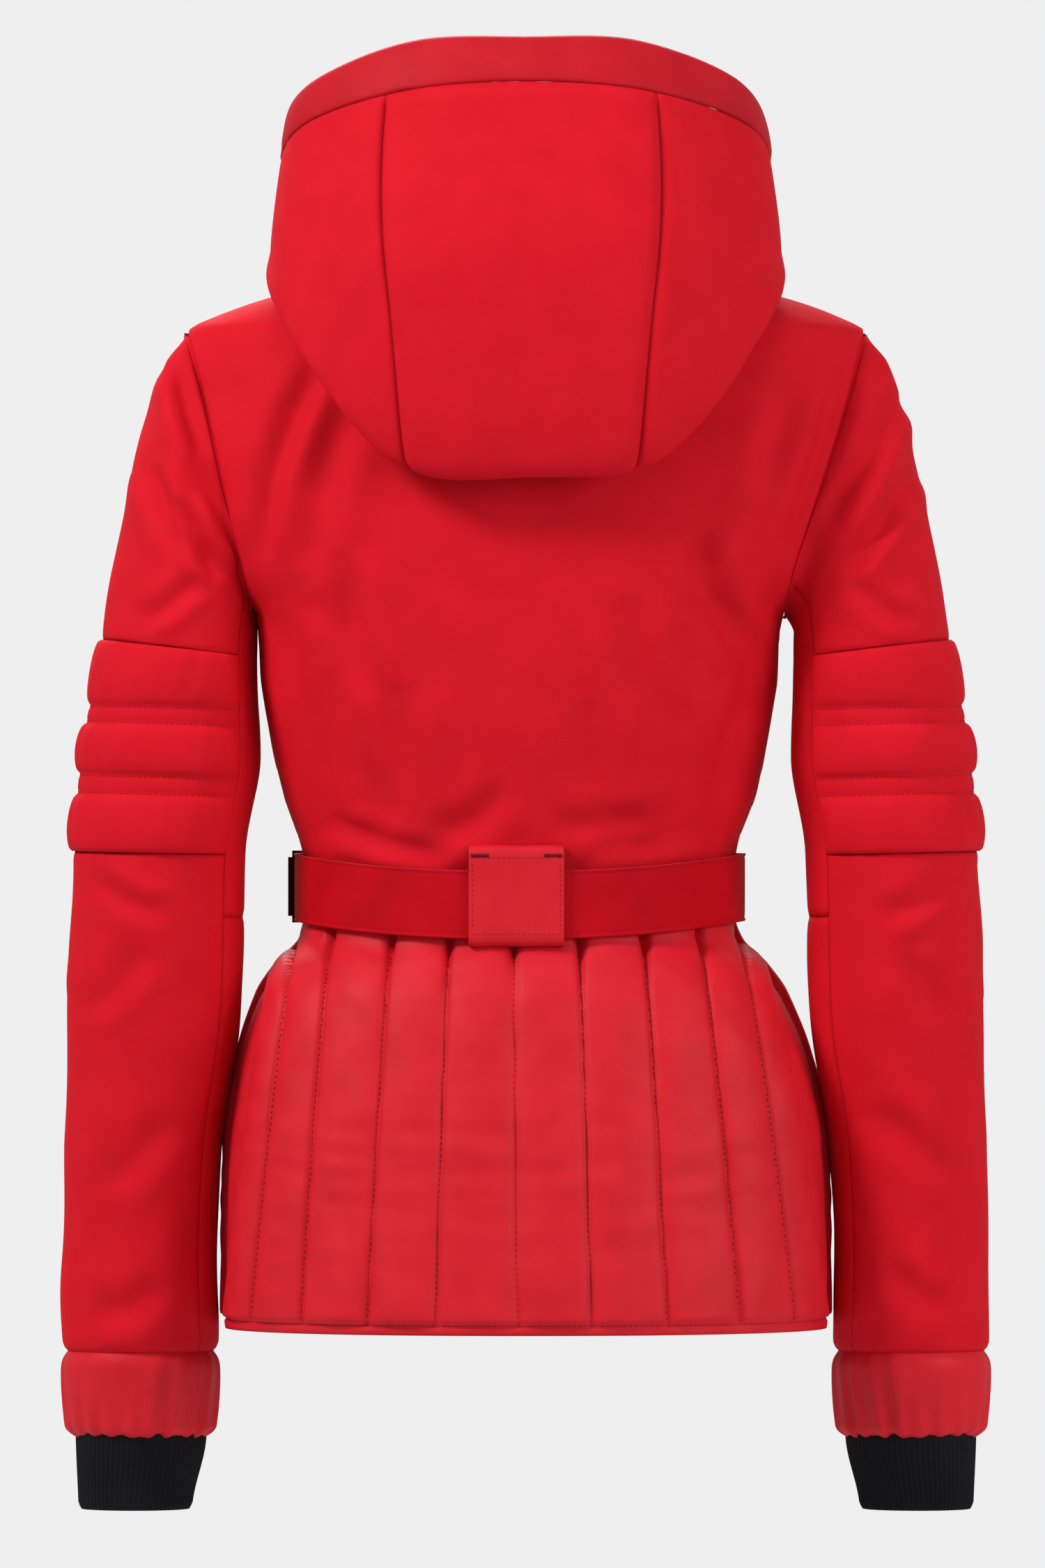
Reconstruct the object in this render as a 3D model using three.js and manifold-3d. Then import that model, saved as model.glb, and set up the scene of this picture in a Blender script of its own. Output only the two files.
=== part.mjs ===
// A women's belted ski jacket with its hood down, hung by the loop inside its neck.
// Millimetres, +Z up, the front faces -Y and the wearer's left is at +X.
import * as THREE from 'three';
import { mergeVertices } from 'three/addons/utils/BufferGeometryUtils.js';
import Module from 'manifold-3d';

const wasm = await Module();
wasm.setup();

// Driving dimensions
const cloth = 1.8; // softshell thickness
const lining = 1; // lining thickness
const liningInset = 6.5; // from the outer face of the softshell to the lining
const padding = 8; // thickness of the padded peplum
const seamGap = 0.4; // between two panels along a seam
const armholeGap = 1.6; // between the body and a sleeve, which swings
const roundness = 2.3; // exponent of the torso's oval sections: 2 is an ellipse

const neckZ = 12; // neckline seam
const collarTopZ = 58;
const waistZ = -366; // seam under the belt
const hemZ = -630;
const armTop = { x: 206, z: -26 };
const armLow = { x: 160, z: -199 };
const zipEdgeX = 7; // front edges of the two front panels
const frontLine = { y: -87.5, slope: 0.083 }; // the centre front is one straight line

const padTopZ = -213;
const padLowZ = -341;
const undersleeveSeamZ = -380;
const sleeveHemZ = -646;
const cuffLowZ = -699;
const knitLowZ = -742;
const backSeamAngle = 2.48; // round a sleeve, from its outer line towards the back
const frontSeamAngle = -1.92;

const beltHeight = 41;
const beltZ = -363; // middle of the belt at the sides
const beltDip = 10; // and how far lower it hangs at the centre back
const beltGrow = 7.8; // belt outside the waist
const beltFrontGrow = 16; // room for the zip slider to pass behind it
const beltThick = 2;

const loopMid = { y: 35, z: 28 }; // hanger loop's apex, which is the part's origin
const loopWidth = 56;
const tapeWide = 6;

const colours = {
  softshell: 0xd11222,
  satin: 0xcf1f2c,
  belt: 0xb9061a,
  lining: 0x9c1c26,
  knit: 0x101014,
  metal: 0x1a1a1c,
  tape: 0xb3101f,
};

// Helpers
const finish = (name, geometry, colour, roughness = 0.8, metalness = 0) => {
  geometry.computeVertexNormals();
  const material = new THREE.MeshStandardMaterial({ color: colour, roughness, metalness });
  const mesh = new THREE.Mesh(geometry, material);
  mesh.name = name;
  return mesh;
};

// Smooth curve through [position, value] keys, with no overshoot.
const through = (keys) => {
  const sorted = [...keys].sort((a, b) => a[0] - b[0]);
  const slopes = sorted.map((key, i) => {
    if (i === 0 || i === sorted.length - 1) return 0;
    const before = (key[1] - sorted[i - 1][1]) / (key[0] - sorted[i - 1][0]);
    const after = (sorted[i + 1][1] - key[1]) / (sorted[i + 1][0] - key[0]);
    return before * after <= 0 ? 0 : (2 * before * after) / (before + after);
  });
  return (position) => {
    const last = sorted.length - 1;
    if (position <= sorted[0][0]) return sorted[0][1];
    if (position >= sorted[last][0]) return sorted[last][1];
    const i = sorted.findIndex((key, k) => k < last && position <= sorted[k + 1][0]);
    const span = sorted[i + 1][0] - sorted[i][0];
    const t = (position - sorted[i][0]) / span;
    const rise = sorted[i + 1][1] - sorted[i][1];
    const a = slopes[i] * span - rise;
    const b = -slopes[i + 1] * span + rise;
    return sorted[i][1] + rise * t + t * (1 - t) * (a * (1 - t) + b * t);
  };
};

const power = (value, exponent) => Math.sign(value) * Math.abs(value) ** exponent;
const mix = (a, b, t) => a + (b - a) * t;

// Unit normal of a surface(u, v), by differences kept inside the unit square.
const normalOf = (surface, u, v) => {
  const step = 0.004;
  const u0 = Math.max(0, u - step);
  const v0 = Math.max(0, v - step);
  const along = surface(Math.min(1, u + step), v).sub(surface(u0, v));
  const up = surface(u, Math.min(1, v + step)).sub(surface(u, v0));
  return along.cross(up).normalize();
};

// Flips a closed mesh that came out inside out.
const facedOut = (geometry) => {
  const at = geometry.attributes.position;
  const index = geometry.index.array;
  const corner = (i) => new THREE.Vector3().fromBufferAttribute(at, index[i]);
  let volume = 0;
  for (let i = 0; i < index.length; i += 3) {
    volume += corner(i).dot(corner(i + 1).cross(corner(i + 2)));
  }
  if (volume < 0) index.reverse();
  return geometry;
};

// A closed sheet: surface(u, v) is its outer face, and its wall goes inwards from there.
// inset and thick are numbers or functions of (u, v); inside is a point on the inner side.
const sheet = (surface, columns, rows, inside, thick = cloth, inset = 0) => {
  const valueOf = (value, u, v) => (typeof value === 'function' ? value(u, v) : value);
  const middle = surface(0.5, 0.5);
  const outwards = Math.sign(normalOf(surface, 0.5, 0.5).dot(middle.clone().sub(inside)));
  const box = new THREE.BoxGeometry(1, 1, 1, columns, rows, 1);
  const at = box.attributes.position;
  for (let i = 0; i < at.count; i++) {
    const u = at.getX(i) + 0.5;
    const v = at.getY(i) + 0.5;
    const depth = valueOf(inset, u, v) + (at.getZ(i) < 0 ? valueOf(thick, u, v) : 0);
    const point = surface(u, v).addScaledVector(normalOf(surface, u, v), -outwards * depth);
    at.setXYZ(i, point.x, point.y, point.z);
  }
  return facedOut(box);
};

// A closed tube wall: surface(angle, v) is its outer face and inner(angle, v) its inner one.
const tube = (surface, inner, columns, rows) => {
  const profile = [];
  for (let i = 0; i <= rows; i++) profile.push(new THREE.Vector2(1, i / rows));
  for (let i = rows; i >= 0; i--) profile.push(new THREE.Vector2(2, i / rows));
  profile.push(profile[0].clone());
  const lathe = new THREE.LatheGeometry(profile, columns);
  const at = lathe.attributes.position;
  for (let i = 0; i < at.count; i++) {
    const angle = Math.atan2(at.getX(i), at.getZ(i));
    const radius = Math.hypot(at.getX(i), at.getZ(i));
    const point = (radius > 1.5 ? surface : inner)(angle, at.getY(i));
    at.setXYZ(i, point.x, point.y, point.z);
  }
  return facedOut(lathe);
};

const solidOf = (geometry) => {
  const bare = geometry.clone();
  bare.deleteAttribute('normal');
  bare.deleteAttribute('uv');
  const merged = mergeVertices(bare.index ? bare : mergeVertices(bare), 1e-4);
  const mesh = new wasm.Mesh({
    numProp: 3,
    vertProperties: new Float32Array(merged.attributes.position.array),
    triVerts: new Uint32Array(merged.index.array),
  });
  return new wasm.Manifold(mesh);
};

const geometryOf = (solid) => {
  const mesh = solid.getMesh();
  const geometry = new THREE.BufferGeometry();
  geometry.setAttribute('position', new THREE.BufferAttribute(mesh.vertProperties, 3));
  geometry.setIndex(new THREE.BufferAttribute(mesh.triVerts, 1));
  return geometry;
};

const joined = (...geometries) => geometryOf(geometries.map(solidOf).reduce((a, b) => a.add(b)));
const cut = (geometry, ...tools) =>
  geometryOf(tools.map(solidOf).reduce((a, b) => a.subtract(b), solidOf(geometry)));

const block = (width, depth, height, x = 0, y = 0, z = 0) =>
  new THREE.BoxGeometry(width, depth, height).translate(x, y, z);

// The torso's surface
const halfWidthAt = through([
  [60, 73], [30, 76], [12, 82], [4, 114], [-4, 150], [-9, 168], [-16, 187], [-26, 206],
  [-50, 211], [-80, 211], [-110, 206], [-140, 197], [-170, 182], [-199, 160], [-241, 154],
  [-279, 147], [-310, 140], [-340, 132], [-362, 129], [-384, 130], [-395, 134], [-410, 149],
  [-427, 161], [-472, 176], [-515, 183], [-569, 185], [-630, 185],
]);
const backAt = through([
  [60, 45], [12, 50], [4, 52], [-4, 56], [-16, 64], [-26, 70], [-60, 84], [-100, 95],
  [-150, 104], [-200, 107], [-250, 104], [-300, 95], [-340, 87], [-362, 84], [-384, 84.5],
  [-396, 86], [-410, 96], [-430, 107], [-470, 116], [-520, 123], [-630, 130],
]);
const leanAt = through([[-60, 0], [-200, 8], [-400, 7], [-515, 0]]); // the back leans to the left
const frontAt = (z) => frontLine.y + frontLine.slope * z;

const torsoAt = (angle, z, grow = 0, frontGrow = grow) => {
  const back = backAt(z) + grow;
  const front = frontAt(z) - frontGrow;
  const y = (back + front) / 2 + ((back - front) / 2) * power(Math.sin(angle), 2 / roundness);
  const x = (halfWidthAt(z) + grow) * power(Math.cos(angle), 2 / roundness);
  return new THREE.Vector3(x + (leanAt(z) * (y - front)) / (back - front), y, z);
};

// The angle at which a section reaches a given distance from the middle.
const angleAtX = (x, z) => Math.acos(Math.min(1, x / halfWidthAt(z)) ** (roundness / 2));

const armholeX = (z) =>
  mix(armLow.x, armTop.x, (z - armLow.z) / (armTop.z - armLow.z));

// Where the panels end at the side: at the shoulder seam, the armhole or the side seam.
const sideAngle = (z) => {
  const edge = seamGap / 2 / halfWidthAt(z);
  if (z >= armTop.z || z <= armLow.z) return edge;
  return Math.max(edge, angleAtX(armholeX(z) - armholeGap / 2, z));
};

// Rows of a body panel: neck to armhole top, armhole, armpit to waist.
const bodyRows = [3, 6, 4];
const bodyRowCount = bodyRows.reduce((a, b) => a + b);
const bodyZ = (v) => {
  const row = v * bodyRowCount;
  const [cap, hole, side] = bodyRows;
  if (row <= cap) return mix(neckZ - seamGap, armTop.z, row / cap);
  if (row <= cap + hole) return mix(armTop.z, armLow.z, (row - cap) / hole);
  return mix(armLow.z, waistZ + seamGap, (row - cap - hole) / side);
};

const middleOfTorso = new THREE.Vector3(0, 0, -200);
const backAcross = (zOf) => (u, v) => {
  const z = zOf(v);
  return torsoAt(mix(Math.PI - sideAngle(z), sideAngle(z), u), z);
};
const frontAcross = (side, zOf, edgeX = zipEdgeX) => (u, v) => {
  const z = zOf(v);
  const angle = mix(-sideAngle(z), -angleAtX(edgeX, z), u);
  return torsoAt(side > 0 ? angle : -Math.PI - angle, z);
};
const sides = [['left', 1], ['right', -1]];

const bodyPanels = () => {
  const parts = [];
  const back = backAcross(bodyZ);
  const backInner = (u, v) => back(mix(0.05, 0.95, u), v);
  parts.push(finish('back_body_panel', sheet(back, 14, bodyRowCount, middleOfTorso),
    colours.softshell));
  parts.push(finish('back_lining', sheet(backInner, 14, bodyRowCount, middleOfTorso, lining,
    liningInset), colours.lining));
  for (const [hand, side] of sides) {
    const front = frontAcross(side, bodyZ);
    const inner = (u, v) => frontAcross(side, bodyZ, 18)(mix(0.09, 1, u), v);
    parts.push(finish(`${hand}_front_panel`, sheet(front, 7, bodyRowCount, middleOfTorso),
      colours.softshell));
    parts.push(finish(`${hand}_front_lining`, sheet(inner, 7, bodyRowCount, middleOfTorso,
      lining, liningInset), colours.lining));
  }
  return parts;
};

// The padded peplum below the belt
const peplumPanels = () => {
  const parts = [];
  const rows = [waistZ - seamGap, -384, -397, -427, -500, hemZ];
  const rowZ = (v) => {
    const row = Math.min(rows.length - 2, Math.floor(v * (rows.length - 1) + 1e-6));
    return mix(rows[row], rows[row + 1], v * (rows.length - 1) - row);
  };
  const thinned = (v) => 1 + (padding - 1) * Math.min(1, v / 0.6); // gathered thin at the belt
  parts.push(finish('peplum_back', sheet(backAcross(rowZ), 14, 5, new THREE.Vector3(0, 0, -500),
    (u, v) => thinned(v)), colours.satin, 0.5));
  for (const [hand, side] of sides) {
    const thickness = (u, v) => Math.min(thinned(v), mix(cloth, padding, (1 - u) / 0.2));
    parts.push(finish(`${hand}_peplum_front`, sheet(frontAcross(side, rowZ), 8, 5,
      new THREE.Vector3(0, 0, -500), thickness), colours.satin, 0.5));
  }
  const liningZ = (v) => mix(waistZ - 18, hemZ + 18, v);
  const around = (u, v) => {
    const z = liningZ(v);
    return torsoAt(mix(-angleAtX(20, z), Math.PI + angleAtX(20, z), u), z);
  };
  parts.push(finish('peplum_lining', sheet(around, 20, 3, new THREE.Vector3(0, 0, -500), lining,
    padding + 5), colours.lining));
  return parts;
};

// Stand collar
const collar = () => {
  const around = (inset) => (u, v) => {
    const z = mix(neckZ, collarTopZ, v);
    const edge = angleAtX(zipEdgeX + inset, z);
    return torsoAt(mix(-edge, Math.PI + edge, u), z);
  };
  const middle = new THREE.Vector3(0, -20, 30);
  return [
    finish('collar', sheet(around(0), 20, 2, middle), colours.softshell),
    finish('collar_lining', sheet(around(11), 20, 1, middle, lining, liningInset),
      colours.lining, 0.95),
  ];
};

// The strap is a flat tape bent into an arch, with its two feet on the collar lining.
const hangerLoop = () => {
  const half = loopWidth / 2;
  const outer = new THREE.Shape();
  outer.moveTo(-half, -24);
  outer.bezierCurveTo(-half, -6, -14, 1.2, 0, 1.2);
  outer.bezierCurveTo(14, 1.2, half, -6, half, -24);
  outer.lineTo(half - 1.4, -24);
  outer.bezierCurveTo(half - 1.4, -7, 13, 0, 0, 0);
  outer.bezierCurveTo(-13, 0, -half + 1.4, -7, -half + 1.4, -24);
  outer.closePath();
  const strap = new THREE.ExtrudeGeometry(outer, {
    depth: tapeWide, bevelEnabled: false, curveSegments: 8,
  });
  strap.translate(0, 0, -tapeWide / 2).rotateX(Math.PI / 2).translate(0, loopMid.y, loopMid.z);
  return finish('hanger_loop', strap, colours.tape);
};

// Hood, hanging open behind the neck
// Five rails run round the hood from one side of the throat, past the back, to the other side.
// Each is given from the right throat to the centre back and mirrored to the left.
const rail = (points) => {
  const right = points.map(([x, y, z]) => new THREE.Vector3(-x, y, z));
  const left = points.slice(0, -1).reverse().map(([x, y, z]) => new THREE.Vector3(x, y, z));
  return new THREE.CatmullRomCurve3([...right, ...left], false, 'centripetal');
};
const hoodRails = {
  edge: rail([[84, -82, 50], [124, -52, 72], [143, -4, 100], [128, 56, 124], [66, 92, 146],
    [0, 98, 148]]),
  brimSeam: rail([[88, -82, 30], [130, -54, 48], [148, -4, 74], [133, 64, 97], [72, 108, 115],
    [0, 116, 120]]),
  belly: rail([[88, -80, 22], [128, -50, 28], [152, 0, 28], [142, 84, 10], [82, 138, 0],
    [0, 146, 0]]),
  fold: rail([[84, -78, 16], [120, -44, 11], [153, 16, 9], [134, 100, -42], [78, 126, -108],
    [0, 130, -115]]),
  neck: rail([[68, -77, 19], [78, -44, 19], [86, 0, 19], [70, 38, 19], [40, 54, 19],
    [0, 59, 19]]),
};

const railPoint = (name, u) => hoodRails[name].getPoint(u);
const hoodAt = (u, v) => {
  const names = ['brimSeam', 'belly', 'fold', 'neck'];
  const across = new THREE.CatmullRomCurve3(names.map((name) => railPoint(name, u)), false,
    'centripetal');
  return across.getPoint(v);
};

const hoodPanels = () => {
  const pouch = new THREE.Vector3(0, 100, 20); // a point in the air inside the hood
  const gap = 0.0008;
  const leftSeam = (v) => 0.6 + 0.014 * Math.cos(v * 5) + 0.004;
  const rightSeam = (v) => 0.4 + 0.004 - 0.014 * Math.cos(v * 5);
  const spans = [
    ['hood_centre_panel', (v) => rightSeam(v) + gap, (v) => leftSeam(v) - gap, 5],
    ['hood_left_panel', (v) => leftSeam(v) + gap, () => 1, 8],
    ['hood_right_panel', () => 0, (v) => rightSeam(v) - gap, 8],
  ];
  const parts = spans.map(([name, from, to, columns]) => {
    const surface = (u, v) => hoodAt(mix(from(v), to(v), u), mix(0.01, 1, v));
    return finish(name, sheet(surface, columns, 10, pouch), colours.softshell);
  });
  // The lining stops short of the throat and of the fold, where the hood is too tight to turn in.
  const inner = (u, v) => hoodAt(mix(0.14, 0.86, u), mix(0.01, 0.56, v));
  parts.push(finish('hood_lining', sheet(inner, 18, 6, pouch, lining, liningInset + 1),
    colours.lining));
  const brim = (u, v) => {
    const seam = railPoint('brimSeam', u);
    return seam.lerp(railPoint('edge', u), mix(0.045, 1, v));
  };
  parts.push(finish('hood_brim', sheet(brim, 22, 3, pouch,
    (u, v) => cloth + 5 * Math.sin(Math.PI * v)), colours.satin, 0.5));
  return parts;
};

// Sleeves
// Every section is named by the height of its outermost point. It leans from the armhole, which
// is nearly upright, to level at the top of the elbow pad.
const sleeveOutX = through([
  [-26, 206], [-45, 219], [-78, 230], [-125, 241], [-172, 251], [-213, 257], [-278, 268],
  [-341, 274], [-440, 277.5], [-526, 280], [-646, 282], [-699, 279], [-742, 278],
]);
const sleeveInX = through([
  [-26, 160], [-78, 163], [-213, 163], [-280, 161], [-341, 170], [-430, 176], [-526, 189],
  [-590, 193], [-646, 188], [-699, 190], [-742, 198],
]);
const sleeveInZ = through([
  [-26, -199], [-78, -208], [-125, -214], [-172, -219], [-213, -224], [-278, -282],
  [-341, -343], [-440, -440], [-646, -646], [-742, -742], [-800, -800],
]);
const sleeveDepth = through([
  [-26, 54], [-78, 62], [-213, 62], [-341, 61], [-440, 58], [-526, 54], [-646, 51], [-699, 44],
  [-742, 35],
]);
const sleeveMidY = through([
  [-26, 1], [-213, 5], [-310, 8], [-430, 2], [-526, -10], [-646, -28], [-742, -38],
]);

const sleeveAt = (side, angle, outZ, grow = 0) => {
  const span = new THREE.Vector2(sleeveOutX(outZ) - sleeveInX(outZ), outZ - sleeveInZ(outZ));
  const half = span.length() / 2;
  const reach = ((half + grow) / half) * Math.cos(angle);
  const x = (sleeveOutX(outZ) + sleeveInX(outZ) + span.x * reach) / 2 + armholeGap / 2;
  const z = (outZ + sleeveInZ(outZ) + span.y * reach) / 2;
  const roundY = sleeveMidY(outZ) + (sleeveDepth(outZ) + grow) * Math.sin(angle);
  const hold = Math.max(0, 1 - (armTop.z - outZ) / 60) ** 2; // follows the armhole's own outline
  const seamZ = Math.min(armTop.z - 0.01, Math.max(armLow.z + 0.01, z));
  const seamAngle = angleAtX(armholeX(seamZ), seamZ);
  const seamY = torsoAt(Math.sin(angle) > 0 ? seamAngle : -seamAngle, seamZ, grow).y;
  const y = mix(roundY, seamY, hold);
  const lean = (leanAt(seamZ) * (y - frontAt(seamZ))) / (backAt(seamZ) - frontAt(seamZ));
  return new THREE.Vector3(side * x + lean * hold, y, z);
};

const sleevePanel = (side, fromAngle, toAngle, fromZ, toZ) => (u, v) =>
  sleeveAt(side, mix(fromAngle, toAngle, u), mix(fromZ, toZ, v));

// Three puffed ribs with two flat stitched bands between them.
const ribs = [[0, 0.31], [0.39, 0.63], [0.73, 1]];
const ribRise = (v) => {
  const rib = ribs.find(([low, high]) => v > low && v < high);
  if (!rib) return 0;
  return 5.5 * Math.sin((Math.PI * (v - rib[0])) / (rib[1] - rib[0])) ** 0.6;
};

const sleeve = (hand, side) => {
  const seam = 0.009; // radians on each side of a lengthways seam
  const from = frontSeamAngle + seam;
  const to = backSeamAngle - seam;
  const underFrom = backSeamAngle + seam;
  const underTo = frontSeamAngle + 2 * Math.PI - seam;
  const insideAt = (z) => new THREE.Vector3(side * 215, 0, z);
  const pad = (u, v) => {
    const angle = mix(from, to, u);
    const round = Math.min(1, 6 * u, 6 * (1 - u));
    return sleeveAt(side, angle, mix(padTopZ - seamGap, padLowZ + seamGap, v), ribRise(v) * round);
  };
  // Rows that meet those of the upper sleeve and of the pad along the seam.
  const underRow = (v) => {
    const row = v * 11;
    if (row <= 6) return mix(armTop.z - 0.6, padTopZ, row / 6);
    if (row <= 10) return mix(padTopZ, padLowZ, (row - 6) / 4);
    return mix(padLowZ, undersleeveSeamZ + seamGap, row - 10);
  };
  const under = (u, v) => sleeveAt(side, mix(underFrom, underTo, u), underRow(v));
  const tubeOf = (grow, topZ, lowZ) => (angle, v) => sleeveAt(side, angle, mix(lowZ, topZ, v), grow);
  const flare = (angle, v) => sleeveAt(side, angle, mix(cuffLowZ, sleeveHemZ - seamGap, v),
    1.5 * Math.sin(Math.PI * v) - 1);
  return [
    finish(`${hand}_upper_sleeve`, sheet(sleevePanel(side, from, to, armTop.z - 0.6,
      padTopZ + seamGap), 10, 6, insideAt(-150)), colours.softshell),
    finish(`${hand}_elbow_pad`, sheet(pad, 10, 16, insideAt(-280)), colours.softshell),
    finish(`${hand}_lower_sleeve`, sheet(sleevePanel(side, from, to, padLowZ - seamGap,
      sleeveHemZ), 10, 5, insideAt(-500)), colours.softshell),
    finish(`${hand}_upper_undersleeve`, sheet(under, 5, 11, insideAt(-280)),
      colours.softshell),
    finish(`${hand}_lower_undersleeve`, sheet(sleevePanel(side, underFrom, underTo,
      undersleeveSeamZ - seamGap, sleeveHemZ), 5, 4, insideAt(-500)), colours.softshell),
    finish(`${hand}_gathered_cuff`, tube(flare, tubeOf(-4, sleeveHemZ - seamGap, cuffLowZ), 18, 2),
      colours.satin, 0.5),
    finish(`${hand}_knit_cuff`, tube(tubeOf(-5, sleeveHemZ - 24, knitLowZ),
      tubeOf(-8, sleeveHemZ - 24, knitLowZ), 16, 2), colours.knit, 0.95),
    finish(`${hand}_sleeve_lining`, tube(tubeOf(-liningInset, armTop.z - 66, sleeveHemZ + 4),
      tubeOf(-liningInset - lining, armTop.z - 66, sleeveHemZ + 4), 14, 6), colours.lining),
  ];
};

// Belt, its loop and its buckle
const buckle = { angle: -0.42, width: 52, height: 44, thick: 2.2 };

const beltMidZ = (angle) => beltZ - beltDip * Math.max(0, Math.sin(angle)) ** 2;
const beltAt = (angle, rise, grow = 0) => {
  const waist = torsoAt(angle, -362, beltGrow + grow, beltFrontGrow + grow);
  return new THREE.Vector3(waist.x, waist.y, beltMidZ(angle) + rise);
};

// A frame on the belt: x runs round the waist towards the front, y points out and z up.
const beltFrame = (angle) => {
  const out = beltAt(angle, 0);
  const along = beltAt(angle - 0.02, 0).sub(beltAt(angle + 0.02, 0)).setZ(0).normalize();
  const up = new THREE.Vector3(0, 0, 1);
  const frame = new THREE.Group();
  const basis = new THREE.Matrix4().makeBasis(along, up.clone().cross(along), up);
  frame.setRotationFromMatrix(basis);
  frame.position.copy(out);
  return frame;
};

const belt = () => {
  const gap = 0.07; // half the angle left open under the buckle
  const around = (u, v) =>
    beltAt(mix(buckle.angle + gap, buckle.angle + 2 * Math.PI - gap, u), mix(-0.5, 0.5, v) * beltHeight);
  const webbing = finish('belt_webbing', sheet(around, 40, 1, new THREE.Vector3(0, 0, beltZ),
    beltThick), colours.belt, 0.6);

  const loopSpan = { from: -22.5, to: 34, top: -337, low: -398 };
  const outerY = backAt(-362) + beltGrow + 3.2;
  const profile = new THREE.Shape();
  const bodyY = backAt(loopSpan.top) + 0.8;
  profile.moveTo(bodyY, loopSpan.low);
  profile.quadraticCurveTo(outerY, loopSpan.low, outerY, loopSpan.low + 7);
  profile.lineTo(outerY, loopSpan.top - 7);
  profile.quadraticCurveTo(outerY, loopSpan.top, bodyY, loopSpan.top);
  profile.lineTo(bodyY, loopSpan.top - 1.6);
  profile.quadraticCurveTo(outerY - 1.8, loopSpan.top - 1.6, outerY - 1.8, loopSpan.top - 8);
  profile.lineTo(outerY - 1.8, loopSpan.low + 8);
  profile.quadraticCurveTo(outerY - 1.8, loopSpan.low + 1.6, bodyY, loopSpan.low + 1.6);
  profile.closePath();
  const strap = new THREE.ExtrudeGeometry(profile, {
    depth: loopSpan.to - loopSpan.from, bevelEnabled: false, curveSegments: 5,
  });
  strap.applyMatrix4(new THREE.Matrix4().makeBasis(new THREE.Vector3(0, 1, 0),
    new THREE.Vector3(0, 0, 1), new THREE.Vector3(1, 0, 0)));
  strap.translate(loopSpan.from, 0, 0);
  return [webbing, finish('belt_loop', strap, colours.satin, 0.5)];
};

const ear = { width: 4.8, tall: 5, z: 18.5, foot: 1.2 };
const hingePin = { radius: 1.1, x: buckle.width / 2 - 2.4, y: 5 };
const buckleParts = () => {
  const pin = (radius, length) =>
    new THREE.CylinderGeometry(radius, radius, length, 16).rotateX(Math.PI / 2)
      .translate(hingePin.x, hingePin.y, 0);
  const plate = block(buckle.width, buckle.thick, buckle.height, 0, 0.5 + buckle.thick / 2, 0);
  const ears = [-1, 1].map((end) => joined(
    block(ear.width, hingePin.y - ear.foot, ear.tall, hingePin.x,
      (hingePin.y + ear.foot) / 2 + 0.2, end * ear.z),
    pin(ear.width / 2, ear.tall).translate(0, 0, end * ear.z),
  ));
  const base = cut(joined(plate, ...ears), pin(hingePin.radius + 0.3, buckle.height + 4),
    block(30, 6, 26, -6, 1.5, 0));
  const cover = cut(joined(
    block(buckle.width - 5, 2, 36, -1.2, hingePin.y + 0.2, 0),
    pin(2.2, 31),
  ), pin(hingePin.radius + 0.3, buckle.height + 4),
  block(6.4, 12, 6, hingePin.x, hingePin.y, 18.6), block(6.4, 12, 6, hingePin.x, hingePin.y, -18.6));
  const frame = beltFrame(buckle.angle);
  frame.add(finish('buckle_base', base, colours.metal, 0.3, 0.9));
  frame.add(finish('buckle_cover', cover, colours.metal, 0.25, 0.9));
  frame.add(finish('buckle_pin', pin(hingePin.radius, 41.5), colours.metal, 0.3, 0.9));
  return frame;
};

// Zips
// A zip lies in a frame of its own: its length is along z and its face looks to -y.
const tapeY = 4.4; // front face of the tape behind the panel's outer face
const chain = { half: 2.8, thick: 2.6 };
const frontTape = { width: 12, x: 6.3, thick: 0.9 };
const placket = { width: 34, y: 11.2, thick: 1, shorter: 20 };
const stop = { width: 2.4, deep: 2.2, tall: 4, below: 6 };
const slider = { length: 12, wall: 1.1, room: 0.35, pivotZ: -1, pivotY: -1.3, pinRadius: 0.6 };

const zipSlider = (name, colour) => {
  const outer = chain.half + slider.room + slider.wall;
  const face = tapeY - chain.thick - slider.room;
  const shape = new THREE.Shape();
  shape.moveTo(-outer, tapeY - 0.35);
  shape.lineTo(-outer, face - slider.wall);
  shape.lineTo(outer, face - slider.wall);
  shape.lineTo(outer, tapeY - 0.35);
  shape.lineTo(outer - slider.wall, tapeY - 0.35);
  shape.lineTo(outer - slider.wall, face);
  shape.lineTo(-outer + slider.wall, face);
  shape.lineTo(-outer + slider.wall, tapeY - 0.35);
  shape.closePath();
  const body = new THREE.ExtrudeGeometry(shape, { depth: slider.length, bevelEnabled: false });
  body.translate(0, 0, -slider.length / 2);
  const ear = (end) => block(1, 3.9, 4.4, end * 2.9, slider.pivotY, slider.pivotZ);
  const pin = new THREE.CylinderGeometry(slider.pinRadius, slider.pinRadius, 6, 12)
    .rotateZ(Math.PI / 2).translate(0, slider.pivotY - 0.3, slider.pivotZ);
  return finish(name, joined(body, ear(-1), ear(1), pin), colour, 0.35, 0.9);
};

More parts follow.
